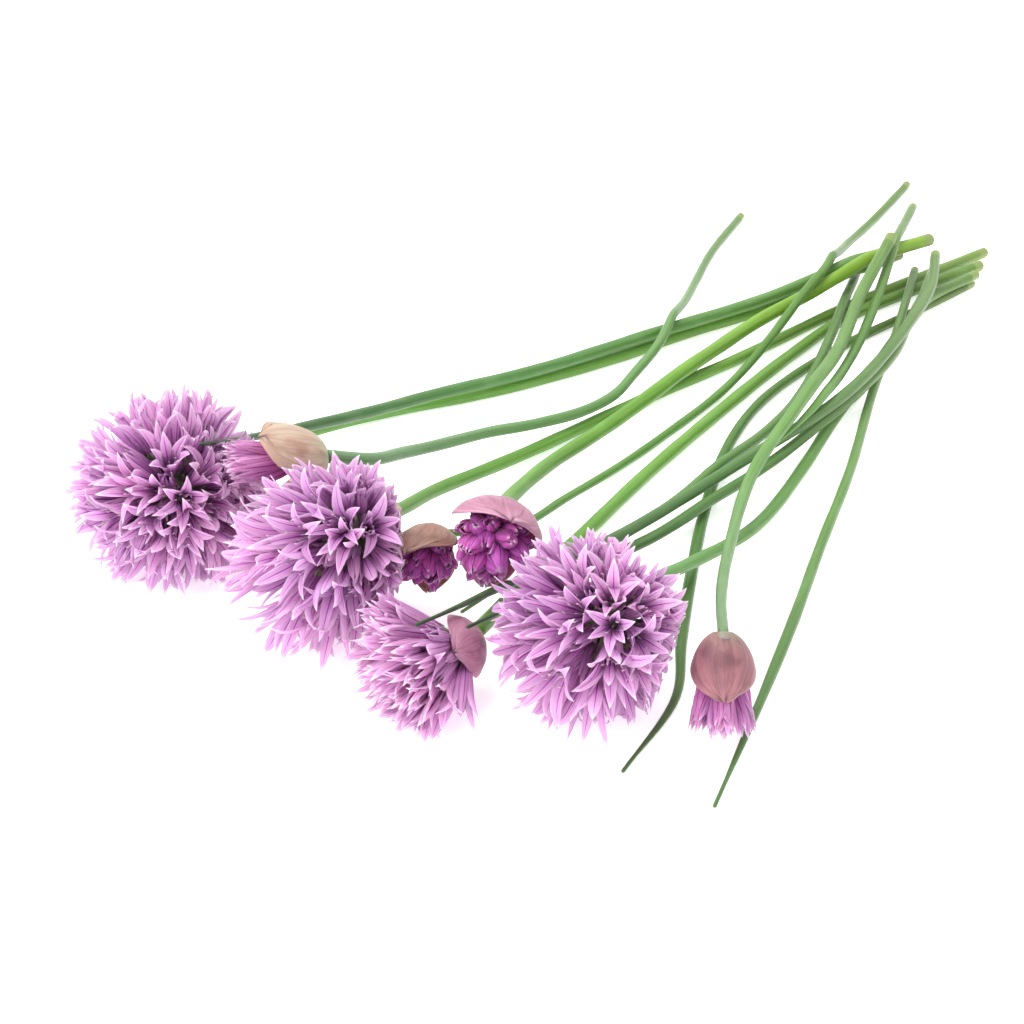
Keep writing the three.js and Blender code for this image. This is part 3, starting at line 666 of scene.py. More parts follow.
@dataclass
class Stalk:
    """A round stalk or a hollow leaf that lies on the table and on the ones laid before it."""

    name: str
    slot: str
    finish: GreenFinish
    radii: tuple[float, float]
    route: tuple[tuple[float, float], ...]
    leaf: bool = False
    start_height: float | None = None
    ducks_under: tuple[str, float] | None = None
    sides: int = 20
    stations: np.ndarray | None = None
    station_radii: np.ndarray | None = None

    def radius_at(self, share: np.ndarray) -> np.ndarray:
        """Radius at shares of the length from the start.

        Args:
            share: Shares from 0 to 1.

        Returns:
            The radius at each.
        """
        first, last = self.radii
        radius = first + (last - first) * np.minimum(1, share * THICKENING)
        if not self.leaf:
            return radius
        tapered = np.maximum(LEAF_TIP_RADIUS, radius * (share / LEAF_TAPER) ** LEAF_TIP_POWER)
        return np.where(share < LEAF_TAPER, tapered, radius)

    def curve(self, places: np.ndarray) -> np.ndarray:
        """Points on the smooth curve through the route.

        Args:
            places: Places on the curve, from 0 at its start to 1 at its end.

        Returns:
            The points, seen from above.
        """
        route = np.array(self.route, dtype=float)
        around = np.vstack([2 * route[0] - route[1], route, 2 * route[-1] - route[-2]])
        spans = len(route) - 1
        span = np.minimum((places * spans).astype(int), spans - 1)
        share = (places * spans - span)[:, None]
        p0, p1, p2, p3 = (around[span + k] for k in range(4))
        steps = (p1 - p0, p2 - p1, p3 - p2)
        d0, d1, d2 = (np.sqrt(np.linalg.norm(step, axis=1))[:, None] for step in steps)
        leave = ((p1 - p0) / d0 - (p2 - p0) / (d0 + d1) + (p2 - p1) / d1) * d1
        arrive = ((p2 - p1) / d1 - (p3 - p1) / (d1 + d2) + (p3 - p2) / d2) * d1
        square = 3 * (p2 - p1) - 2 * leave - arrive
        cube = 2 * (p1 - p2) + leave + arrive
        return p1 + share * (leave + share * (square + share * cube))

    def resting_heights(self, points: np.ndarray, radii: np.ndarray, laid: list["Stalk"]) -> np.ndarray:
        """Lowest heights that the centre line can have over the table and what lies there.

        Args:
            points: The stations seen from above.
            radii: The radius at each.
            laid: The stalks and leaves that lie there.

        Returns:
            A height for each station.
        """
        heights = radii.copy()
        for lower in laid:
            start, end = lower.stations[:-1], lower.stations[1:]
            run = end[:, :2] - start[:, :2]
            offset = points[:, None] - start[None, :, :2]
            share = np.clip((offset * run).sum(axis=2) / (run * run).sum(axis=1), 0, 1)
            away = np.linalg.norm(offset - share[..., None] * run, axis=2) - CROSSING_SLACK
            away = np.maximum(0, away)
            below = lower.station_radii
            reach = radii[:, None] + below[:-1] + (below[1:] - below[:-1]) * share + LYING_GAP
            centre = start[:, 2] + (end[:, 2] - start[:, 2]) * share
            over = np.where(away < reach, centre + np.sqrt(np.maximum(0, reach ** 2 - away ** 2)), 0)
            if self.ducks_under and self.ducks_under[0] == lower.name:
                over[points[:, 0] < self.ducks_under[1]] = 0
            heights = np.maximum(heights, over.max(axis=1))
        return heights

    def lay(self, laid: list["Stalk"]) -> None:
        """Lets the stalk come to rest on the ones laid before it, as a stiff thin rod would.

        Args:
            laid: The stalks and leaves that lie there.
        """
        places = np.linspace(0, 1, CURVE_SAMPLES)
        steps = np.linalg.norm(np.diff(self.curve(places), axis=0), axis=1)
        lengths = np.concatenate([[0], np.cumsum(steps)])
        count = int(lengths[-1] / STATION_STEP + 0.5)
        shares = np.linspace(0, 1, count + 1)
        points = self.curve(np.interp(shares * lengths[-1], lengths, places))
        radii = self.radius_at(shares)
        rest = self.resting_heights(points, radii, laid)
        heights = rest.copy()
        first = 0
        if self.start_height is not None:
            heights[0] = self.start_height
            first = 1
        numbers = np.arange(count + 1)
        behind = np.abs(numbers - 1)
        ahead = count - np.abs(count - numbers - 1)
        turns = [numbers[start::2] for start in (first, first + 1)]
        for _ in range(SETTLING_ROUNDS):
            for turn in turns:
                hung = (heights[behind[turn]] + heights[ahead[turn]]) / 2 - SAG
                heights[turn] = np.maximum(rest[turn], hung)
        for _ in range(EASING_ROUNDS):
            eased = (heights[:-2] + 2 * heights[1:-1] + heights[2:]) / 4
            heights[1:-1] = np.maximum(eased, rest[1:-1])
        self.stations = np.column_stack([points, heights])
        self.station_radii = radii

    def dense(self) -> np.ndarray:
        """The centre line at closely spaced places, each with its radius."""
        line = np.column_stack([self.stations, self.station_radii])
        numbers = np.arange(0, len(line) - 0.99, DENSE_STEP)
        return np.column_stack([np.interp(numbers, np.arange(len(line)), column) for column in line.T])

    def rings(self) -> tuple[np.ndarray, np.ndarray, np.ndarray]:
        """The centres, directions and radii of the rings that the skin runs over.

        Returns:
            Centres, unit directions and radii, from the start to the bottom of the cut end's bore.
        """
        along = unit(np.gradient(self.stations, axis=0))
        centres = [self.stations]
        directions = [along]
        wave = np.sin(np.arange(len(self.stations)) * SKIN_WAVE_TURN)
        radii = [self.station_radii * (1 + SKIN_WAVE * wave)]
        if self.leaf:
            for turn in LEAF_TIP_TURNS:
                angle = math.radians(turn)
                back = self.stations[0] - along[0] * LEAF_TIP_RADIUS * math.sin(angle)
                centres.insert(0, back[None])
                directions.insert(0, along[:1])
                radii.insert(0, np.array([LEAF_TIP_RADIUS * math.cos(angle)]))
        for depth, size in CUT_RINGS:
            centres.append((self.stations[-1] - along[-1] * depth * BORE_DEPTH)[None])
            directions.append(along[-1:])
            radii.append(self.station_radii[-1:] * size)
        return np.concatenate(centres), np.concatenate(directions), np.concatenate(radii)

    def build(self, shift: np.ndarray) -> bpy.types.Object:
        """Makes the stalk's mesh in its finish.

        Args:
            shift: What is taken from each point to bring it into the frame.

        Returns:
            The piece.
        """
        random = seeded(self.name)
        centres, along, radii = self.rings()
        side = unit(np.cross(UP, along))
        lift = np.cross(along, side)
        angles = 2 * math.pi * np.arange(self.sides) / self.sides - math.pi / 2
        wobble = 1 + wave(angles, SKIN_FLAT, 3, random)
        ring = side[:, None] * np.cos(angles)[:, None] + lift[:, None] * np.sin(angles)[:, None]
        points = centres[:, None] + ring * (radii[:, None] * wobble)[..., None]
        rows = len(centres)
        tint = np.zeros((rows, self.sides, 3))
        tint[..., 0] = np.arange(self.sides) / self.sides
        travelled = np.concatenate([[0], np.cumsum(np.linalg.norm(np.diff(centres, axis=0), axis=1))])
        skin_end = -2 - len(CUT_RINGS)
        tint[..., 1] = np.minimum(1, travelled / travelled[skin_end])[:, None]
        tint[..., 2] = random.random()
        shells = Shells()
        shells.add(points.reshape(1, -1, 3), list(tube_faces(rows, self.sides)), tint.reshape(1, -1, 3), 0)
        return shells.piece(self.name + DRESSED, shift, [self.finish.material()])


@dataclass(frozen=True)
class Floret:
    """One kind of floret. Lengths are in millimetres and leans in degrees from its axis."""

    petal_width: float
    throat: float
    foot: float
    lean: tuple[float, float, float]
    curl: float
    stamens: bool
    blunt: float = 1.7
    part: Part = Part.PETALS
    rows: int = 10
    columns: int = 5
    thickness: float = 0.16

    def outline(self) -> np.ndarray:
        """Half the width of a petal at each row, as a share of the widest half."""
        t = np.linspace(0, 1, self.rows)
        swell = 0.5 + 0.5 * np.sin(np.minimum(t / WIDEST, 1) * math.pi / 2)
        point = 1 - np.maximum(0, (t - NARROWING) / (1 - NARROWING)) ** self.blunt
        return swell * point * (1 - PETAL_TIP_WIDTH) + PETAL_TIP_WIDTH

    def petals(self, lengths: np.ndarray, random: np.random.Generator) -> np.ndarray:
        """The petals of a number of florets, each floret standing on the origin.

        Args:
            lengths: The length of each floret's petals.
            random: The head's source of random numbers.

        Returns:
            Points by floret, petal, layer, row and column.
        """
        florets = len(lengths)
        t = np.linspace(0, 1, self.rows)
        s = np.linspace(-1, 1, self.columns)
        foot, middle, tip = self.lean
        upper = np.maximum(0, 2 * t - 1) ** LEAN_POWER
        lean = foot + (middle - foot) * np.minimum(2 * t, 1) + (tip - middle) * upper
        openness = random.uniform(*OPENNESS, (florets, 1, 1))
        curl = random.normal(0, self.curl, (florets, PETAL_COUNT, 1))
        curling = np.maximum(0, t - CURL_START) ** CURL_POWER
        lean = np.radians(lean * openness + curl * curling * CURL_GAIN)
        number = np.arange(PETAL_COUNT)[None, :, None]
        inner = number % 2
        scale = lengths[:, None, None] * (1 - INNER_SHORTER * inner)
        scale = scale * random.uniform(*PETAL_LENGTHS, (florets, PETAL_COUNT, 1))
        step = scale / (self.rows - 1)
        radial = self.throat + np.cumsum(np.sin(lean), axis=2) * step - inner * INNER_INSET
        axial = np.cumsum(np.cos(lean), axis=2) * step
        half = self.petal_width / 2 * (WIDTH_GAIN - INNER_NARROWER * inner) * self.outline()
        bend = random.normal(0, BEND_SCATTER, (florets, PETAL_COUNT, 1)) * t ** 2
        centre = number * 2 * math.pi / PETAL_COUNT + bend
        angle = centre[..., None] + s * (half / np.maximum(radial, LEAST_RADIUS))[..., None]
        twist = random.normal(0, TWIST_SCATTER, (florets, PETAL_COUNT, 1)) * t
        channel = -CHANNEL_DEPTH * half[..., None] * s ** 2 + (twist * half)[..., None] * s
        keel = KEEL_HEIGHT * np.maximum(0, 1 - KEEL_NARROWNESS * np.abs(s)) * (1 - t[:, None])
        swell = self.thickness * (1 - EDGE_THINNING * s ** 2) * (1 - TIP_THINNING * t[:, None])
        layers = []
        for face in (1, -1):
            offset = channel + keel * (face > 0) + face * swell / 2
            out = radial[..., None] + offset * np.cos(lean)[..., None]
            height = axial[..., None] - offset * np.sin(lean)[..., None]
            layers.append(np.stack([out * np.cos(angle), out * np.sin(angle), height], axis=-1))
        return np.stack(layers, axis=2)

    def tint(self, chance: np.ndarray) -> np.ndarray:
        """What the petal finish reads: the place across and along the petal, and the floret's draw.

        Args:
            chance: A draw for each floret.

        Returns:
            Values by petal and point.
        """
        tint = np.zeros((len(chance), PETAL_COUNT, 2, self.rows, self.columns, 3))
        tint[..., 0] = np.linspace(0, 1, self.columns)
        tint[..., 1] = np.linspace(0, 1, self.rows)[:, None]
        tint[..., 2] = chance[:, None, None, None, None]
        return tint.reshape(len(chance) * PETAL_COUNT, -1, 3)


OPEN_FLORET = Floret(petal_width=2.9, throat=0.5, foot=0.38, lean=(12, 14, 42), curl=28,
                     stamens=True, blunt=2.3)
HALF_OPEN_FLORET = Floret(petal_width=2.9, throat=0.5, foot=0.2, lean=(10, 6, 16), curl=22,
                          stamens=True, blunt=2.3)
PARTING_FLORET = Floret(petal_width=3.3, throat=0.45, foot=0.25, lean=(16, 1, 4), curl=20,
                        stamens=False, rows=9)
CLOSED_FLORET = Floret(petal_width=3.6, throat=0.5, foot=0.3, lean=(28, 2, -50), curl=22,
                       stamens=False, blunt=3.2, rows=9)
YOUNG_FLORET = Floret(petal_width=2.2, throat=0.3, foot=0.4, lean=(18, 0, -10), curl=14,
                      stamens=False, part=Part.YOUNG_PETALS, rows=6, columns=3, thickness=0.3)
FLORETS = {Form.BLOOM: OPEN_FLORET, Form.HALF_BLOOM: HALF_OPEN_FLORET,
           Form.OPENING_BUD: PARTING_FLORET, Form.BUD: CLOSED_FLORET}


@dataclass
class Head:
    """A flower head: florets on thin pedicels that spring from the top of a stalk."""

    name: str
    stalk: str
    form: Form
    base: tuple[float, float, float]
    florets: int
    fan: float
    slot: str
    finish: PetalFinish
    core: float
    young: int = 0
    mouth: float = 1.0
    reach: float = 0.0
    ahead: float = 0.0
    egg: tuple[float, float] | None = None
    pointing: tuple[float, float, float] | None = None
    wrap: float = math.pi / 2
    planes: list[tuple[np.ndarray, float]] = field(default_factory=list)
    passing: list[tuple[np.ndarray, float]] = field(default_factory=list)

    def __post_init__(self) -> None:
        """Sets the head's place as vectors."""
        self.root = np.array(self.base)
        self.axis = unit(np.array(self.pointing)) if self.pointing else UP
        self.stem = -self.axis
        self.seat = self.root
        self.closed = self.egg is not None

    def settle(self, stalks: dict[str, Stalk], bracts: list["Bract"]) -> None:
        """Takes the head's axis from the stalk that carries it, and its wrap from its bracts.

        Args:
            stalks: Every laid stalk by name.
            bracts: Every bract of the bunch.
        """
        stations = stalks[self.stalk].stations
        self.seat = stations[0]
        self.stem = unit(stations[STEM_STATION] - stations[0])
        if not self.pointing:
            self.axis = -self.stem
        ends = [bract.end for bract in bracts if bract.head == self.name]
        self.wrap = math.radians(max([90, *ends]))

    def ball(self) -> tuple[np.ndarray, float]:
        """Where the widest part of the head lies, and how wide it is."""
        if self.form is Form.HALF_BLOOM:
            return self.root + self.axis * self.reach * HALF_BLOOM_MIDDLE, self.reach * HALF_BLOOM_GIRTH
        if self.form is Form.BLOOM:
            return self.root + self.axis * self.ahead, self.reach
        half, girth = self.egg
        return self.root + self.axis * half, girth + BRACT_ROOM + CAD_BRACT_THICKNESS

    def firm(self) -> float:
        """Radius of the part that neighbours don't press in."""
        radius = self.ball()[1]
        return radius if self.closed else radius * FIRM_SHARE

    def meet(self, heads: list["Head"], stalks: dict[str, Stalk]) -> None:
        """Notes the neighbours, leaves and stalks that the head gives way to.

        Args:
            heads: Every head of the bunch.
            stalks: Every laid stalk by name.
        """
        self.planes = self.parting_planes(heads)
        centre, radius = self.ball()
        dense = [stalk.dense() for stalk in stalks.values() if stalk.name != self.stalk]
        line = np.concatenate(dense)
        line = line[np.linalg.norm(line[:, :3] - centre, axis=1) < radius + LEAF_REACH]
        self.passing = [(place[:3], place[3]) for place in line]

    def parting_planes(self, heads: list["Head"]) -> list[tuple[np.ndarray, float]]:
        """The planes that part the head from the neighbours it would run into.

        Args:
            heads: Every head of the bunch.

        Returns:
            Each plane's normal and its distance from the origin along it.
        """
        centre, radius = self.ball()
        planes = []
        for other in heads:
            its_centre, its_radius = other.ball()
            apart = np.linalg.norm(centre - its_centre)
            if other is self or apart > radius + its_radius + PRESS_DEPTH * 2:
                continue
            normal = (centre - its_centre) / apart
            share = other.firm() + (apart - self.firm() - other.firm()) / 2
            planes.append((normal, normal @ its_centre + share + HEAD_GAP / 2))
        return planes

    def reach_at(self, angles: np.ndarray) -> np.ndarray:
        """How far florets reach from the base at angles from the axis.

        Args:
            angles: The angles.

        Returns:
            The reach at each.
        """
        c, s = np.cos(angles), np.sin(angles)
        if not self.closed:
            return self.ahead * c + np.sqrt(self.reach ** 2 - (self.ahead * s) ** 2)
        half, girth = self.egg
        if self.form is Form.OPENING_BUD:
            return np.full(len(angles), MOUTH_REACH * half)
        return BUD_REACH * half * c / (c * c + (half / girth) ** 2 * s * s)

    def directions(self, florets: int, random: np.random.Generator) -> np.ndarray:
        """Directions of florets, spread as evenly as seeds and then loosened a little.

        Args:
            florets: How many there are.
            random: The head's source of random numbers.

        Returns:
            Unit vectors, one a floret.
        """
        number = np.arange(florets)
        cosine = 1 - (1 - math.cos(math.radians(self.fan))) * (number + 0.5) / florets
        sine = np.sqrt(1 - cosine ** 2)
        angle = number * GOLDEN_ANGLE + random.uniform(-TURN_SCATTER, TURN_SCATTER, florets)
        loose = np.column_stack([np.cos(angle) * sine, np.sin(angle) * sine, cosine])
        loose += random.normal(0, AIM_SCATTER, (florets, 3))
        side, other, axis = bases(self.axis[None], np.zeros(1))[0].T
        return unit(loose[:, :1] * side + loose[:, 1:2] * other + loose[:, 2:] * axis)

    def steer(self, directions: np.ndarray) -> np.ndarray:
        """Turns florets away from leaves and stalks that pass through the head.

        Args:
            directions: The florets' directions.

        Returns:
            The turned directions.
        """
        if not self.passing:
            return directions
        centres = np.array([centre for centre, _ in self.passing])
        radii = np.array([radius for _, radius in self.passing])
        steered = directions.copy()
        farthest = 2 * self.egg[0] if self.closed else self.reach
        for number in range(len(steered)):
            for _ in range(STEERING_STEPS):
                offset = centres - self.root
                along = np.clip(offset @ steered[number], self.core, farthest)
                gap = offset - along[:, None] * steered[number]
                short = radii + FLORET_GIRTH - np.linalg.norm(gap, axis=1)
                worst = int(np.argmax(short))
                if short[worst] <= 0:
                    break
                push = unit(gap[worst]) * short[worst] * STEERING_SHARE / along[worst]
                steered[number] = unit(steered[number] - push)
        return steered

    def clear(self, points: np.ndarray) -> np.ndarray:
        """Moves points clear of the neighbours, the leaves, the bracts, the stalk and the table.

        Args:
            points: The points, one a row.

        Returns:
            The moved points.
        """
        for normal, level in self.planes:
            away = points @ normal - level
            points = points + normal * (pressed(away) - away)[:, None]
        middle, size = self.ball()
        for centre, radius in self.passing:
            depth = np.linalg.norm(centre - middle)
            if self.closed or not FIRM_SHARE * size < depth < COVERING_REACH * size:
                continue
            outward = (centre - middle) / depth
            above = (points - middle) @ outward
            beside = np.linalg.norm(points - middle - above[:, None] * outward, axis=1)
            covers = (beside < radius + LEAF_GAP) & (above > depth - radius - LEAF_GAP)
            points = points - outward * np.where(covers, above - depth + radius + LEAF_GAP, 0)[:, None]
        for centre, radius in self.passing:
            away = points - centre
            distance = np.linalg.norm(away, axis=1)
            close = distance < radius + LEAF_GAP
            points[close] = centre + unit(away[close]) * (radius + LEAF_GAP)
        offset = points - self.root
        along = offset @ self.axis
        radial = offset - along[:, None] * self.axis
        girth = np.linalg.norm(radial, axis=1)
        outward = unit(radial)
        if self.closed:
            half, widest = self.egg
            widest = widest + BUD_SWELL
            turn = np.arccos(np.clip(1 - along / half, -1, 1))
            limit = widest * np.sin(np.minimum(turn, self.wrap))
            if self.form is Form.OPENING_BUD:
                beyond = np.maximum(0, along - half * (1 - math.cos(self.wrap)))
                limit = limit * self.mouth + MOUTH_FLARE * self.mouth * beyond
            over = np.where((along > 0) & (girth > limit), girth - limit, 0)
            points = points - outward * over[:, None]
        elif self.form is Form.HALF_BLOOM:
            points = points + self.axis * np.maximum(0, girth * HALF_BLOOM_EDGE - along)[:, None]
        else:
            limit = np.where(-along > self.core * CONE_START, -along * math.tan(STALK_CONE), 0)
            points = points + outward * np.maximum(0, limit - girth)[:, None]
        points[:, 2] = pressed(points[:, 2])
        return points

    def build(self, shift: np.ndarray) -> bpy.types.Object:
        """Makes the head's mesh in its finishes.

        Args:
            shift: What is taken from each point to bring it into the frame.

        Returns:
            The piece.
        """
        random = seeded(self.name)
        shells = Shells()
        self.add_florets(shells, FLORETS[self.form], self.florets, 1.0, random)
        for share in YOUNG_REACHES if self.young else ():
            self.add_florets(shells, YOUNG_FLORET, self.young, share, random)
        self.add_knob(shells)
        finishes = [self.finish, PEDICEL, FILAMENT, ANTHER, OVARY, YOUNG_PETALS]
        return shells.piece(self.name + DRESSED, shift, [finish.material() for finish in finishes])

    def start(self) -> np.ndarray:
        """Where the florets' stems spring from."""
        return self.root + self.axis * (self.core * 0.5 if self.closed else 0)

    def add_florets(self, shells: Shells, kind: Floret, florets: int, share: float,
                    random: np.random.Generator) -> None:
        """Adds florets of one kind.

        Args:
            shells: What they are added to.
            kind: The kind of floret.
            florets: How many there are.
            share: How far they reach against the head's own reach.
            random: The head's source of random numbers.
        """
        directions = self.steer(self.directions(florets, random))
        angles = np.arccos(np.clip(directions @ self.axis, -1, 1))
        reach = self.reach_at(angles) * share * random.uniform(*REACH_SPREAD, florets)
        foot = reach * kind.foot * random.uniform(*FOOT_SPREAD, florets)
        foot = np.maximum(self.core * FOOT_IN_CORE, foot)
        nodding = unit(directions + random.normal(0, NOD, (florets, 3)))
        group = Whorl(self, self.start() + directions * foot[:, None],
                      bases(nodding, random.uniform(0, math.pi, florets)),
                      (reach - foot) * PETAL_OVERREACH, random.random(florets))
        petals = group.place(kind.petals(group.lengths, random))
        shells.add(petals.reshape(florets * PETAL_COUNT, -1, 3), [sheet_faces(kind.rows, kind.columns)],
                   kind.tint(group.chance), kind.part)
        group.add_pedicels(shells)
        if kind.stamens:
            group.add_stamens(shells, random)

    def add_knob(self, shells: Shells) -> None:
        """Adds the round knob on the stalk's end that the florets' stems spring from.

        Args:
            shells: What it is added to.
        """
        size = KNOB_SIZE[self.closed]
        middle = self.seat - self.stem * (size + SOCKET_GAP)
        knob = middle - self.stem * (np.sin(KNOB_TURNS) * size)[:, None]
        add_tubes(shells, knob[None], np.cos(KNOB_TURNS) * size, KNOB_SIDES, np.array([0.5]), Part.PEDICEL)


@dataclass
class Whorl:
    """Florets of one kind in their places in a head."""

    head: Head
    feet: np.ndarray
    axes: np.ndarray
    lengths: np.ndarray
    chance: np.ndarray

    def place(self, local: np.ndarray) -> np.ndarray:
        """Brings points of each floret to its place in the head.

        Args:
            local: Points by floret and then in any order.

        Returns:
            The points in the same order.
        """
        flat = local.reshape(len(self.feet), -1, 3)
        moved = flat @ self.axes.transpose(0, 2, 1) + self.feet[:, None]
        return self.head.clear(moved.reshape(-1, 3)).reshape(local.shape)

    def add_pedicels(self, shells: Shells) -> None:
        """Adds the stem of each floret.

        Args:
            shells: What they are added to.
        """
        start = self.head.start()
        shares = np.linspace(0, 1, len(PEDICEL_RADII))[None, :, None]
        paths = start + (self.feet - start)[:, None] * (PEDICEL_START + PEDICEL_RUN * shares)
        paths = self.head.clear(paths.reshape(-1, 3)).reshape(paths.shape)
        add_tubes(shells, paths, PEDICEL_RADII, PEDICEL_SIDES, self.chance, Part.PEDICEL)

    def add_stamens(self, shells: Shells, random: np.random.Generator) -> None:
        """Adds six stamens and an ovary with its style to each floret.

        Args:
            shells: What they are added to.
            random: The head's source of random numbers.
        """
        florets = len(self.feet)
        turn = (np.arange(PETAL_COUNT) + 0.5) * 2 * math.pi / PETAL_COUNT
        spread = random.uniform(*FILAMENT_SPREAD, (florets, PETAL_COUNT))
        height = self.lengths[:, None] * random.uniform(*FILAMENT_HEIGHTS, (florets, PETAL_COUNT))
        shares = np.linspace(0, 1, len(FILAMENT_RADII))
        out = FILAMENT_THROAT + spread[..., None] * shares ** FILAMENT_BEND
        filaments = np.stack([out * np.cos(turn)[:, None], out * np.sin(turn)[:, None],
                              height[..., None] * (FILAMENT_FOOT + (1 - FILAMENT_FOOT) * shares)], axis=-1)
        draws = np.repeat(self.chance, PETAL_COUNT)
        placed = self.place(filaments).reshape(-1, len(FILAMENT_RADII), 3)
        add_tubes(shells, placed, FILAMENT_RADII, FILAMENT_SIDES, draws, Part.FILAMENT)
        ends = placed[:, -1]
        lean = unit(placed[:, -1] - placed[:, -2])
        lying = unit(np.cross(lean, UP) + ANTHER_TILT * lean)
        anther = ends[:, None] + lying[:, None] * ANTHER_PLACES[None, :, None]
        add_tubes(shells, anther, ANTHER_RADII, ANTHER_SIDES, draws, Part.ANTHER)
        pistil = np.zeros((florets, len(PISTIL_PLACES), 3))
        pistil[..., 2] = self.lengths[:, None] * PISTIL_PLACES
        add_tubes(shells, self.place(pistil), PISTIL_RADII, PISTIL_SIDES, self.chance, Part.OVARY)


@dataclass
class Bract:
    """A papery bract: a thin pointed piece of an egg-shaped shell that opens round a head.

    Around is the angle of its middle about the head's axis, counted from the upper side.
    """

    name: str
    head: str
    slot: str
    finish: PaperFinish
    around: float
    spread: float
    end: float
    egg: tuple[float, float] | None = None
    opening: float = 2.5
    point: float = 2.2
    rows: int = 34
    columns: int = 29
    thickness: float = 0.2

    def seat(self, head: Head) -> tuple[np.ndarray, np.ndarray, float, float]:
        """Where the egg stands that the bract is a piece of.

        Args:
            head: The head that the bract wraps or hangs behind.

        Returns:
            The egg's base, its axis, half its length and its girth.
        """
        room = BRACT_ROOM + CAD_BRACT_THICKNESS
        half, girth = self.egg or (head.egg[0] + room, head.egg[1] + room)
        if head.form is Form.BLOOM:
            return head.root + head.stem * (head.core + BLOOM_BRACT_DROP), head.stem, half, girth
        behind = BRACT_ROOM if head.closed else HALF_BLOOM_BRACT_DROP
        return head.root - head.axis * behind, head.axis, half, girth

    def build(self, heads: dict[str, Head], shift: np.ndarray) -> bpy.types.Object:
        """Makes the bract's mesh in its finish.

        Args:
            heads: Every head of the bunch by name.
            shift: What is taken from each point to bring it into the frame.

        Returns:
            The piece.
        """
        random = seeded(self.name)
        base, axis, half, girth = self.seat(heads[self.head])
        upper = unit(UP - (UP @ axis) * axis)
        side = np.cross(axis, upper)
        share = np.linspace(0, 1, self.rows)[:, None]
        place = np.linspace(-1, 1, self.columns)[None, :]
        first = math.asin(self.opening / girth)
        frayed = wave(place, *COARSE_FRAY, random) + wave(place, *FINE_FRAY, random)
        last = math.radians(self.end) * (1 + frayed)
        turn = first + (last - first) * share
        uneven = 1 + wave(share, *SIDE_WAVE, random) * share
        narrowed = (1 - share ** self.point) ** BRACT_TAPER + BRACT_TIP_WIDTH
        spread = math.radians(self.spread) * narrowed * uneven
        angle = math.radians(self.around) + spread * place
        height, turns = FINE_PLEAT
        pleats = height * np.sin(place * turns + PLEAT_DRIFT * share) + wave(place, *WIDE_PLEAT, random)
        height, turns = TIP_RIPPLE
        ripple = pleats * np.sin(share * math.pi)
        ripple = ripple + height * share ** TIP_RIPPLE_POWER * np.sin(place * turns)
        layers = []
        for inset in (0.0, self.thickness):
            radius = (girth - inset + ripple) * np.sin(turn)
            lift = half - (half - inset + ripple) * np.cos(turn)
            layers.append(base + axis * lift[..., None] + upper * (np.cos(angle) * radius)[..., None]
                          + side * (np.sin(angle) * radius)[..., None])
        points = np.stack(layers)
        points[..., 2] = pressed(points[..., 2], BRACT_PRESS_DEPTH)
        tint = np.zeros(points.shape)
        tint[..., 0] = (place + 1) / 2
        tint[..., 1] = share
        tint[..., 2] = random.random()
        shells = Shells()
        faces = sheet_faces(self.rows, self.columns)
        if np.linalg.det(np.stack([upper, side, axis])) < 0:
            faces = faces[:, ::-1]
        shells.add(points.reshape(1, -1, 3), [faces[:, ::-1]], tint.reshape(1, -1, 3), 0)
        return shells.piece(self.name + DRESSED, shift, [self.finish.material()])


def pressed(distance: np.ndarray, depth: float = PRESS_DEPTH) -> np.ndarray:
    """Softly yielding distances: they stay positive, and are unchanged beyond the depth.

    Args:
        distance: The distances.
        depth: How deep things give way.

    Returns:
        The yielded distances.
    """
    given = depth * np.exp(np.minimum(0, distance - depth) / depth)
    return np.where(distance < depth, given, distance)
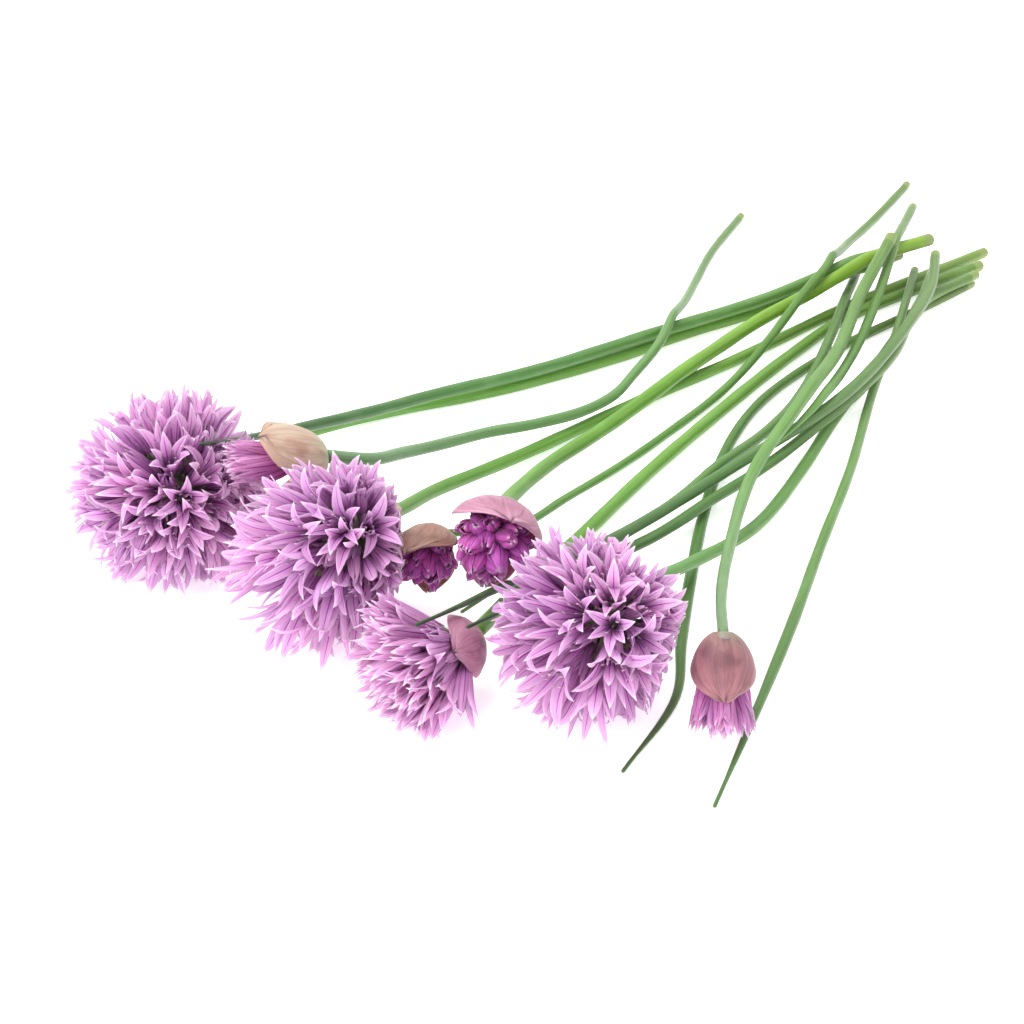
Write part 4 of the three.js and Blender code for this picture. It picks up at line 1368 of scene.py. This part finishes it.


# Every stalk and leaf in the order in which it was laid down, the lowest first. A route
# starts at the flower or at the leaf tip and ends at the cut end.
# Each green finish gives its colours at the flower or leaf tip, in the middle and at the cut end, then its
# wax colour, which also paints the highlight along the top.
STALKS = [
    Stalk("leaf_lowest", "leaf_green", GreenFinish("lowest leaf", "46622f", "3f7320", "5f7c34", "73965a"),
          (1.3, 1.25), ((-139, -55), (-117, -52), (-102, -44), (-82, -34), (-53, -21), (-27, -12),
                        (-3, -8), (34, -10), (66, -16), (95, -21)), leaf=True),
    Stalk("stalk_middle_bloom", "stalk_green",
          GreenFinish("middle bloom stalk", "5e8e38", "629630", "769440", "90b866"),
          (1.45, 1.5), ((-127.5, 13.6), (-114, 17.3), (-97, 22), (-82, 23), (-55, 21), (-21, 15), (11, 8),
                        (58, 0), (119, -15)), start_height=18.5),
    Stalk("stalk_half_bloom", "stalk_green",
          GreenFinish("half bloom stalk", "66993c", "689c34", "5c8028", "9cc874"),
          (1.45, 1.6), ((-132.4, -17.4), (-109, -11), (-84, -8), (-55, -5), (-19, -3), (22, -2), (50, -3),
                        (76, -9), (108, -18)), start_height=9),
    Stalk("stalk_front_bloom", "stalk_grey_green",
          GreenFinish("front bloom stalk", "629252", "649442", "608238", "94bc82"),
          (1.3, 1.4), ((-119.4, -39.2), (-105, -35), (-85, -35), (-59, -36), (-30, -32), (-4, -27),
                       (31, -22), (69, -18), (94, -22)), start_height=16.5),
    Stalk("leaf_front", "leaf_green", GreenFinish("front leaf", "44692e", "5c863c", "66854a", "92b87c"),
          (1.15, 1.15), ((-137, -72), (-109, -65), (-83, -58), (-56, -50), (-24, -41), (16, -28),
                         (43, -21), (86, -7)), leaf=True),
    Stalk("leaf_hidden_tip", "leaf_green",
          GreenFinish("hidden tip leaf", "547e3a", "5a853f", "5f7f44", "88ac70"),
          (1.1, 1.3), ((-122, -6), (-113, -11), (-103, -14), (-91, -15), (-61, -18), (-34, -18),
                       (-5, -16), (20, -11), (59, 1), (81, 8)), leaf=True, start_height=3),
    Stalk("stalk_left_bloom", "stalk_green",
          GreenFinish("left bloom stalk", "548a38", "649838", "6e943c", "9cc67c"),
          (1.35, 1.6), ((-137, 56), (-120, 63), (-105, 67), (-87, 68), (-69, 63), (-40, 47), (-8, 34),
                        (19, 26), (67, 5), (90, 0)), start_height=16),
    Stalk("leaf_over_left_bloom", "leaf_green",
          # Its very dark first colour paints shade onto the leaf's tip, where the tip crosses the left
          # bloom.
          GreenFinish("leaf over left bloom", "203e20", "4c7c3c", "5e8a3c", "96bc88"),
          (1.25, 1.6), ((-139, 45), (-117, 52), (-99, 55), (-78, 55), (-57, 52), (-27, 40), (17, 25),
                        (45, 13), (64, 5), (78, 0)), leaf=True, start_height=31),
    Stalk("stalk_round_bud", "stalk_bright_green",
          GreenFinish("round bud stalk", "5c8e36", "669a2c", "82a82c", "9ac860", ribs=20.0),
          (1.6, 1.8), ((-112, -6), (-94, 3), (-71, 10), (-49, 12), (-10, 12), (27, 11), (49, 5),
                       (81, -5), (91, -8)), start_height=19.3),
    Stalk("stalk_opening_bud", "stalk_grey_green",
          GreenFinish("opening bud stalk", "70916a", "608e46", "67884c", "98ba8c"),
          (1.4, 1.2), ((-121.2, 28.7), (-111, 26), (-98, 28), (-71, 28), (-57, 24), (-43, 20), (-31, 19),
                       (-19, 21), (-2, 24), (21, 32), (48, 43), (70, 51), (102, 59)), start_height=25.7),
    Stalk("leaf_beside_half_bloom", "leaf_green",
          GreenFinish("leaf beside half bloom", "263f26", "54803c", "6a864b", "88ac70"),
          (1.1, 1.3), ((-140, -22), (-117, -20), (-97, -20), (-77, -23), (-52, -25), (-25, -27),
                       (0, -28), (28, -27), (45, -23), (63, -19), (81, -14)), leaf=True, start_height=17),
    Stalk("leaf_over_half_bloom", "leaf_green",
          GreenFinish("leaf over half bloom", "284227", "4f783c", "67854a", "86aa6e"),
          (1.1, 1.4), ((-148, -17), (-122, -16), (-96, -19), (-66, -21), (-43, -23), (-11, -28),
                       (16, -28), (49, -24), (66, -20), (87, -12)), leaf=True, start_height=20),
    Stalk("leaf_short", "leaf_green", GreenFinish("short leaf", "639048", "568530", "678548", "94b872"),
          (1.1, 1.3), ((-38, -28), (-13, -27), (16, -21), (46, -13), (80, -3), (108, 5)), leaf=True),
    Stalk("stalk_capped_bud", "stalk_grey_green",
          GreenFinish("capped bud stalk", "6f8f66", "679646", "62873a", "98bb80"),
          (1.0, 1.6), ((-114.9, -59.4), (-100, -50.6), (-82, -42), (-53, -31), (-24, -26), (8, -20),
                       (43, -10), (70, -5)), start_height=17),
    Stalk("stalk_small_bud", "stalk_green",
          GreenFinish("small bud stalk", "5a8a3c", "568632", "5f8238", "88b068"),
          (0.8, 1.25), ((-117, 5), (-110, 3), (-101, -1), (-90, 0), (-75, 2), (-38, 2), (-5, 2),
                        (36, 5), (53, 6), (99, 19), (161, 29)), start_height=14.2,
          ducks_under=("stalk_round_bud", -88)),
]

# Every flower head. The base is where its florets spring from.
HEADS = [
    Head("left_bloom", "stalk_left_bloom", Form.BLOOM, (-138.6, 55.3, 16), 88, 146, "petal_lavender",
         LAVENDER, core=3.4, young=58, reach=21),
    Head("middle_bloom", "stalk_middle_bloom", Form.BLOOM, (-130.3, 12.8, 18.5), 72, 128, "petal_lavender",
         LAVENDER, core=3.2, young=44, reach=19, ahead=9.5, pointing=(-0.98, 0.08, -0.16)),
    Head("front_bloom", "stalk_front_bloom", Form.BLOOM, (-121.9, -40, 16.5), 66, 122, "petal_lavender",
         LAVENDER, core=3.0, young=40, reach=18, ahead=6.7, pointing=(-0.99, 0.09, -0.07)),
    Head("half_bloom", "stalk_half_bloom", Form.HALF_BLOOM, (-134.9, -18.2, 9), 36, 41, "petal_lavender",
         HALF_OPEN_PINK, core=2.6, young=12, reach=20.5, pointing=(-0.95, 0.28, -0.06)),
    Head("opening_bud", "stalk_opening_bud", Form.OPENING_BUD, (-121.8, 29, 25.6), 12, 14, "petal_lavender",
         BRIGHT_PINK, core=2.8, mouth=0.62, egg=(10, 6), pointing=(-0.84, 0.52, 0.14)),
    Head("small_bud", "stalk_small_bud", Form.BUD, (-117.2, 4.7, 14), 26, 62, "petal_magenta",
         MAGENTA, core=2.6, egg=(7.2, 6.2), pointing=(-0.85, -0.45, -0.27)),
    Head("round_bud", "stalk_round_bud", Form.BUD, (-112.6, -6.6, 19.4), 56, 72, "petal_magenta",
         MAGENTA, core=3.4, egg=(8.3, 8.1), pointing=(-0.81, -0.58, 0.02)),
    Head("capped_bud", "stalk_capped_bud", Form.OPENING_BUD, (-114.9, -59.4, 17), 14, 20, "petal_lavender",
         BRIGHT_PINK, core=2.4, egg=(9, 4.6), pointing=(-0.51, -0.34, -0.79)),
]

BEIGE_PAPER = PaperFinish("beige bract", "b4bc98", "c0ab96", "bc9886", "94705e")
BROWN_PAPER = PaperFinish("brown bract", "94805e", "a07a68", "c09c8a", "684a40")
PINK_PAPER = PaperFinish("pink bract", "9a7e66", "b27890", "d29eb4", "80465e")
ROSE_PAPER = PaperFinish("dusty pink bract", "8c8268", "96646c", "b47c82", "5c3840")

# The papery bracts that wrapped each head. The bracts of an open bloom point back along
# its stalk.
BRACTS = [
    Bract("opening_bud_bract_upper", "opening_bud", "bract_beige", BEIGE_PAPER, -22, 72, 104, point=4),
    Bract("opening_bud_bract_lower", "opening_bud", "bract_brown", BROWN_PAPER, -159, 54, 98, point=3),
    Bract("small_bud_bract_upper", "small_bud", "bract_brown", BROWN_PAPER, 22, 80, 108, point=4),
    Bract("small_bud_bract_lower", "small_bud", "bract_brown", BROWN_PAPER, 178, 56, 90),
    Bract("round_bud_bract_upper", "round_bud", "bract_pink", PINK_PAPER, -26, 82, 112, point=5),
    Bract("round_bud_bract_lower", "round_bud", "bract_pink", PINK_PAPER, 172, 60, 85),
    Bract("capped_bud_bract_upper", "capped_bud", "bract_pink", ROSE_PAPER, 0, 100, 98, point=3,
          opening=1.6),
    Bract("capped_bud_bract_lower", "capped_bud", "bract_brown", BROWN_PAPER, 180, 52, 80),
    Bract("half_bloom_bract", "half_bloom", "bract_pink", PINK_PAPER, -50, 82, 96,
          egg=(8.2, 7.2), point=3),
    Bract("middle_bloom_bract_upper", "middle_bloom", "bract_beige", BEIGE_PAPER, 20, 60, 115,
          egg=(6, 5.4), opening=3.3),
    Bract("middle_bloom_bract_lower", "middle_bloom", "bract_brown", BROWN_PAPER, 185, 55, 110,
          egg=(6, 5.2), opening=3.3),
    Bract("front_bloom_bract", "front_bloom", "bract_beige", BEIGE_PAPER, 10, 65, 115,
          egg=(6.2, 5.2), opening=3.1),
]


@dataclass(frozen=True)
class Lamp:
    """A large soft lamp, with its places and size in metres."""

    name: str
    place: tuple[float, float, float]
    aim: tuple[float, float, float]
    size: float
    watts: float

    def build(self) -> None:
        """Hangs the lamp in its place and turns it towards its aim."""
        light = bpy.data.lights.new(self.name, "AREA")
        light.size = self.size
        light.energy = self.watts
        holder = bpy.data.objects.new(self.name, light)
        holder.location = self.place
        towards = np.array(self.aim) - np.array(self.place)
        across = math.hypot(towards[0], towards[1])
        turn = math.atan2(towards[0], -towards[1]) + math.pi
        holder.rotation_euler = (math.atan2(across, -towards[2]), 0.0, turn)
        bpy.context.scene.collection.objects.link(holder)


LAMPS = (Lamp("lamp above", (-0.1, 0.35, 0.9), (-0.05, 0.0, 0.0), 0.5, 6.0),
         Lamp("lamp beside", (-0.75, 0.15, 0.45), (-0.12, 0.0, 0.02), 0.35, 2.0))


@dataclass
class Studio:
    """The pale table, the soft light and the camera at the photograph's angle."""

    table_size: float = 6.0
    camera_place: tuple[float, float, float] = (-0.30747, -0.15911, 0.175)
    camera_tilt: float = 58.0
    camera_turn: float = -53.0
    focal_length: float = 52.73
    sky: float = 1.0

    def build_table(self) -> None:
        """Lays the pale table that the bunch lies on."""
        half = self.table_size / 2
        mesh = bpy.data.meshes.new("table")
        corners = [(-half, -half, 0), (half, -half, 0), (half, half, 0), (-half, half, 0)]
        mesh.from_pydata(corners, [], [(0, 1, 2, 3)])
        graph = Graph("pale table")
        noise = graph.add("TexNoise", {"Scale": 4.0})
        pale = graph.mix(graph.fade(noise.outputs[0], 0.3, 0.7), linear("fbfbfb"), linear("ffffff"))
        mesh.materials.append(graph.finish({"Base Color": pale, "Roughness": 0.9,
                                            "Specular IOR Level": 0.1, "Emission Color": pale,
                                            "Emission Strength": 0.55}))
        table = bpy.data.objects.new("table", mesh)
        bpy.context.scene.collection.objects.link(table)

    def build_light(self) -> None:
        """Surrounds the bunch with even white light and hangs the lamps."""
        world = bpy.data.worlds.new("white room")
        world.use_nodes = True
        background = world.node_tree.nodes["Background"]
        background.inputs["Color"].default_value = (1.0, 1.0, 1.0, 1.0)
        background.inputs["Strength"].default_value = self.sky
        bpy.context.scene.world = world
        for lamp in LAMPS:
            lamp.build()

    def build_camera(self) -> None:
        """Sets the camera where the photograph was taken from."""
        lens = bpy.data.cameras.new("camera")
        lens.lens = self.focal_length
        lens.sensor_width = 36.0
        lens.clip_start = 0.01
        camera = bpy.data.objects.new("camera", lens)
        camera.location = self.camera_place
        camera.rotation_euler = (math.radians(self.camera_tilt), 0.0, math.radians(self.camera_turn))
        bpy.context.scene.collection.objects.link(camera)
        bpy.context.scene.camera = camera
        bpy.context.scene.view_settings.view_transform = "Standard"


def frame_shift(stalks: list[Stalk]) -> np.ndarray:
    """What parts the routes' origin from the frame's, found by setting stalks against their nodes.

    Args:
        stalks: The laid stalks.

    Returns:
        The shift in millimetres.
    """
    shifts = []
    for stalk in stalks:
        low, high = (np.array(corner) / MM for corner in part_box(stalk.name))
        own = (stalk.stations.min(axis=0) + stalk.stations.max(axis=0)) / 2
        shifts.append(own - (low + high) / 2)
    shift = np.median(shifts, axis=0)
    shift[2] = 0.0
    return shift


def hand_over(piece: bpy.types.Object) -> None:
    """Lets a piece ride on the bunch and stand for the node that it is named after.

    Args:
        piece: The piece.
    """
    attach(piece, "root")
    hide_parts(piece.name.removesuffix(DRESSED))
    log.info("%s: %d faces", piece.name, len(piece.data.polygons))


def main() -> None:
    """Builds the studio, then the stalks, the heads and the bracts."""
    studio = Studio()
    studio.build_table()
    studio.build_light()
    studio.build_camera()
    laid: list[Stalk] = []
    for stalk in STALKS:
        stalk.lay(laid)
        laid.append(stalk)
    shift = frame_shift(laid)
    log.info("shift %s", shift)
    stalks = {stalk.name: stalk for stalk in laid}
    for stalk in laid:
        hand_over(stalk.build(shift))
    for head in HEADS:
        head.settle(stalks, BRACTS)
    for head in HEADS:
        head.meet(HEADS, stalks)
        hand_over(head.build(shift))
    heads = {head.name: head for head in HEADS}
    for bract in BRACTS:
        hand_over(bract.build(heads, shift))


if __name__ == "__main__":
    logging.basicConfig(level=logging.INFO, format="%(message)s")
    main()
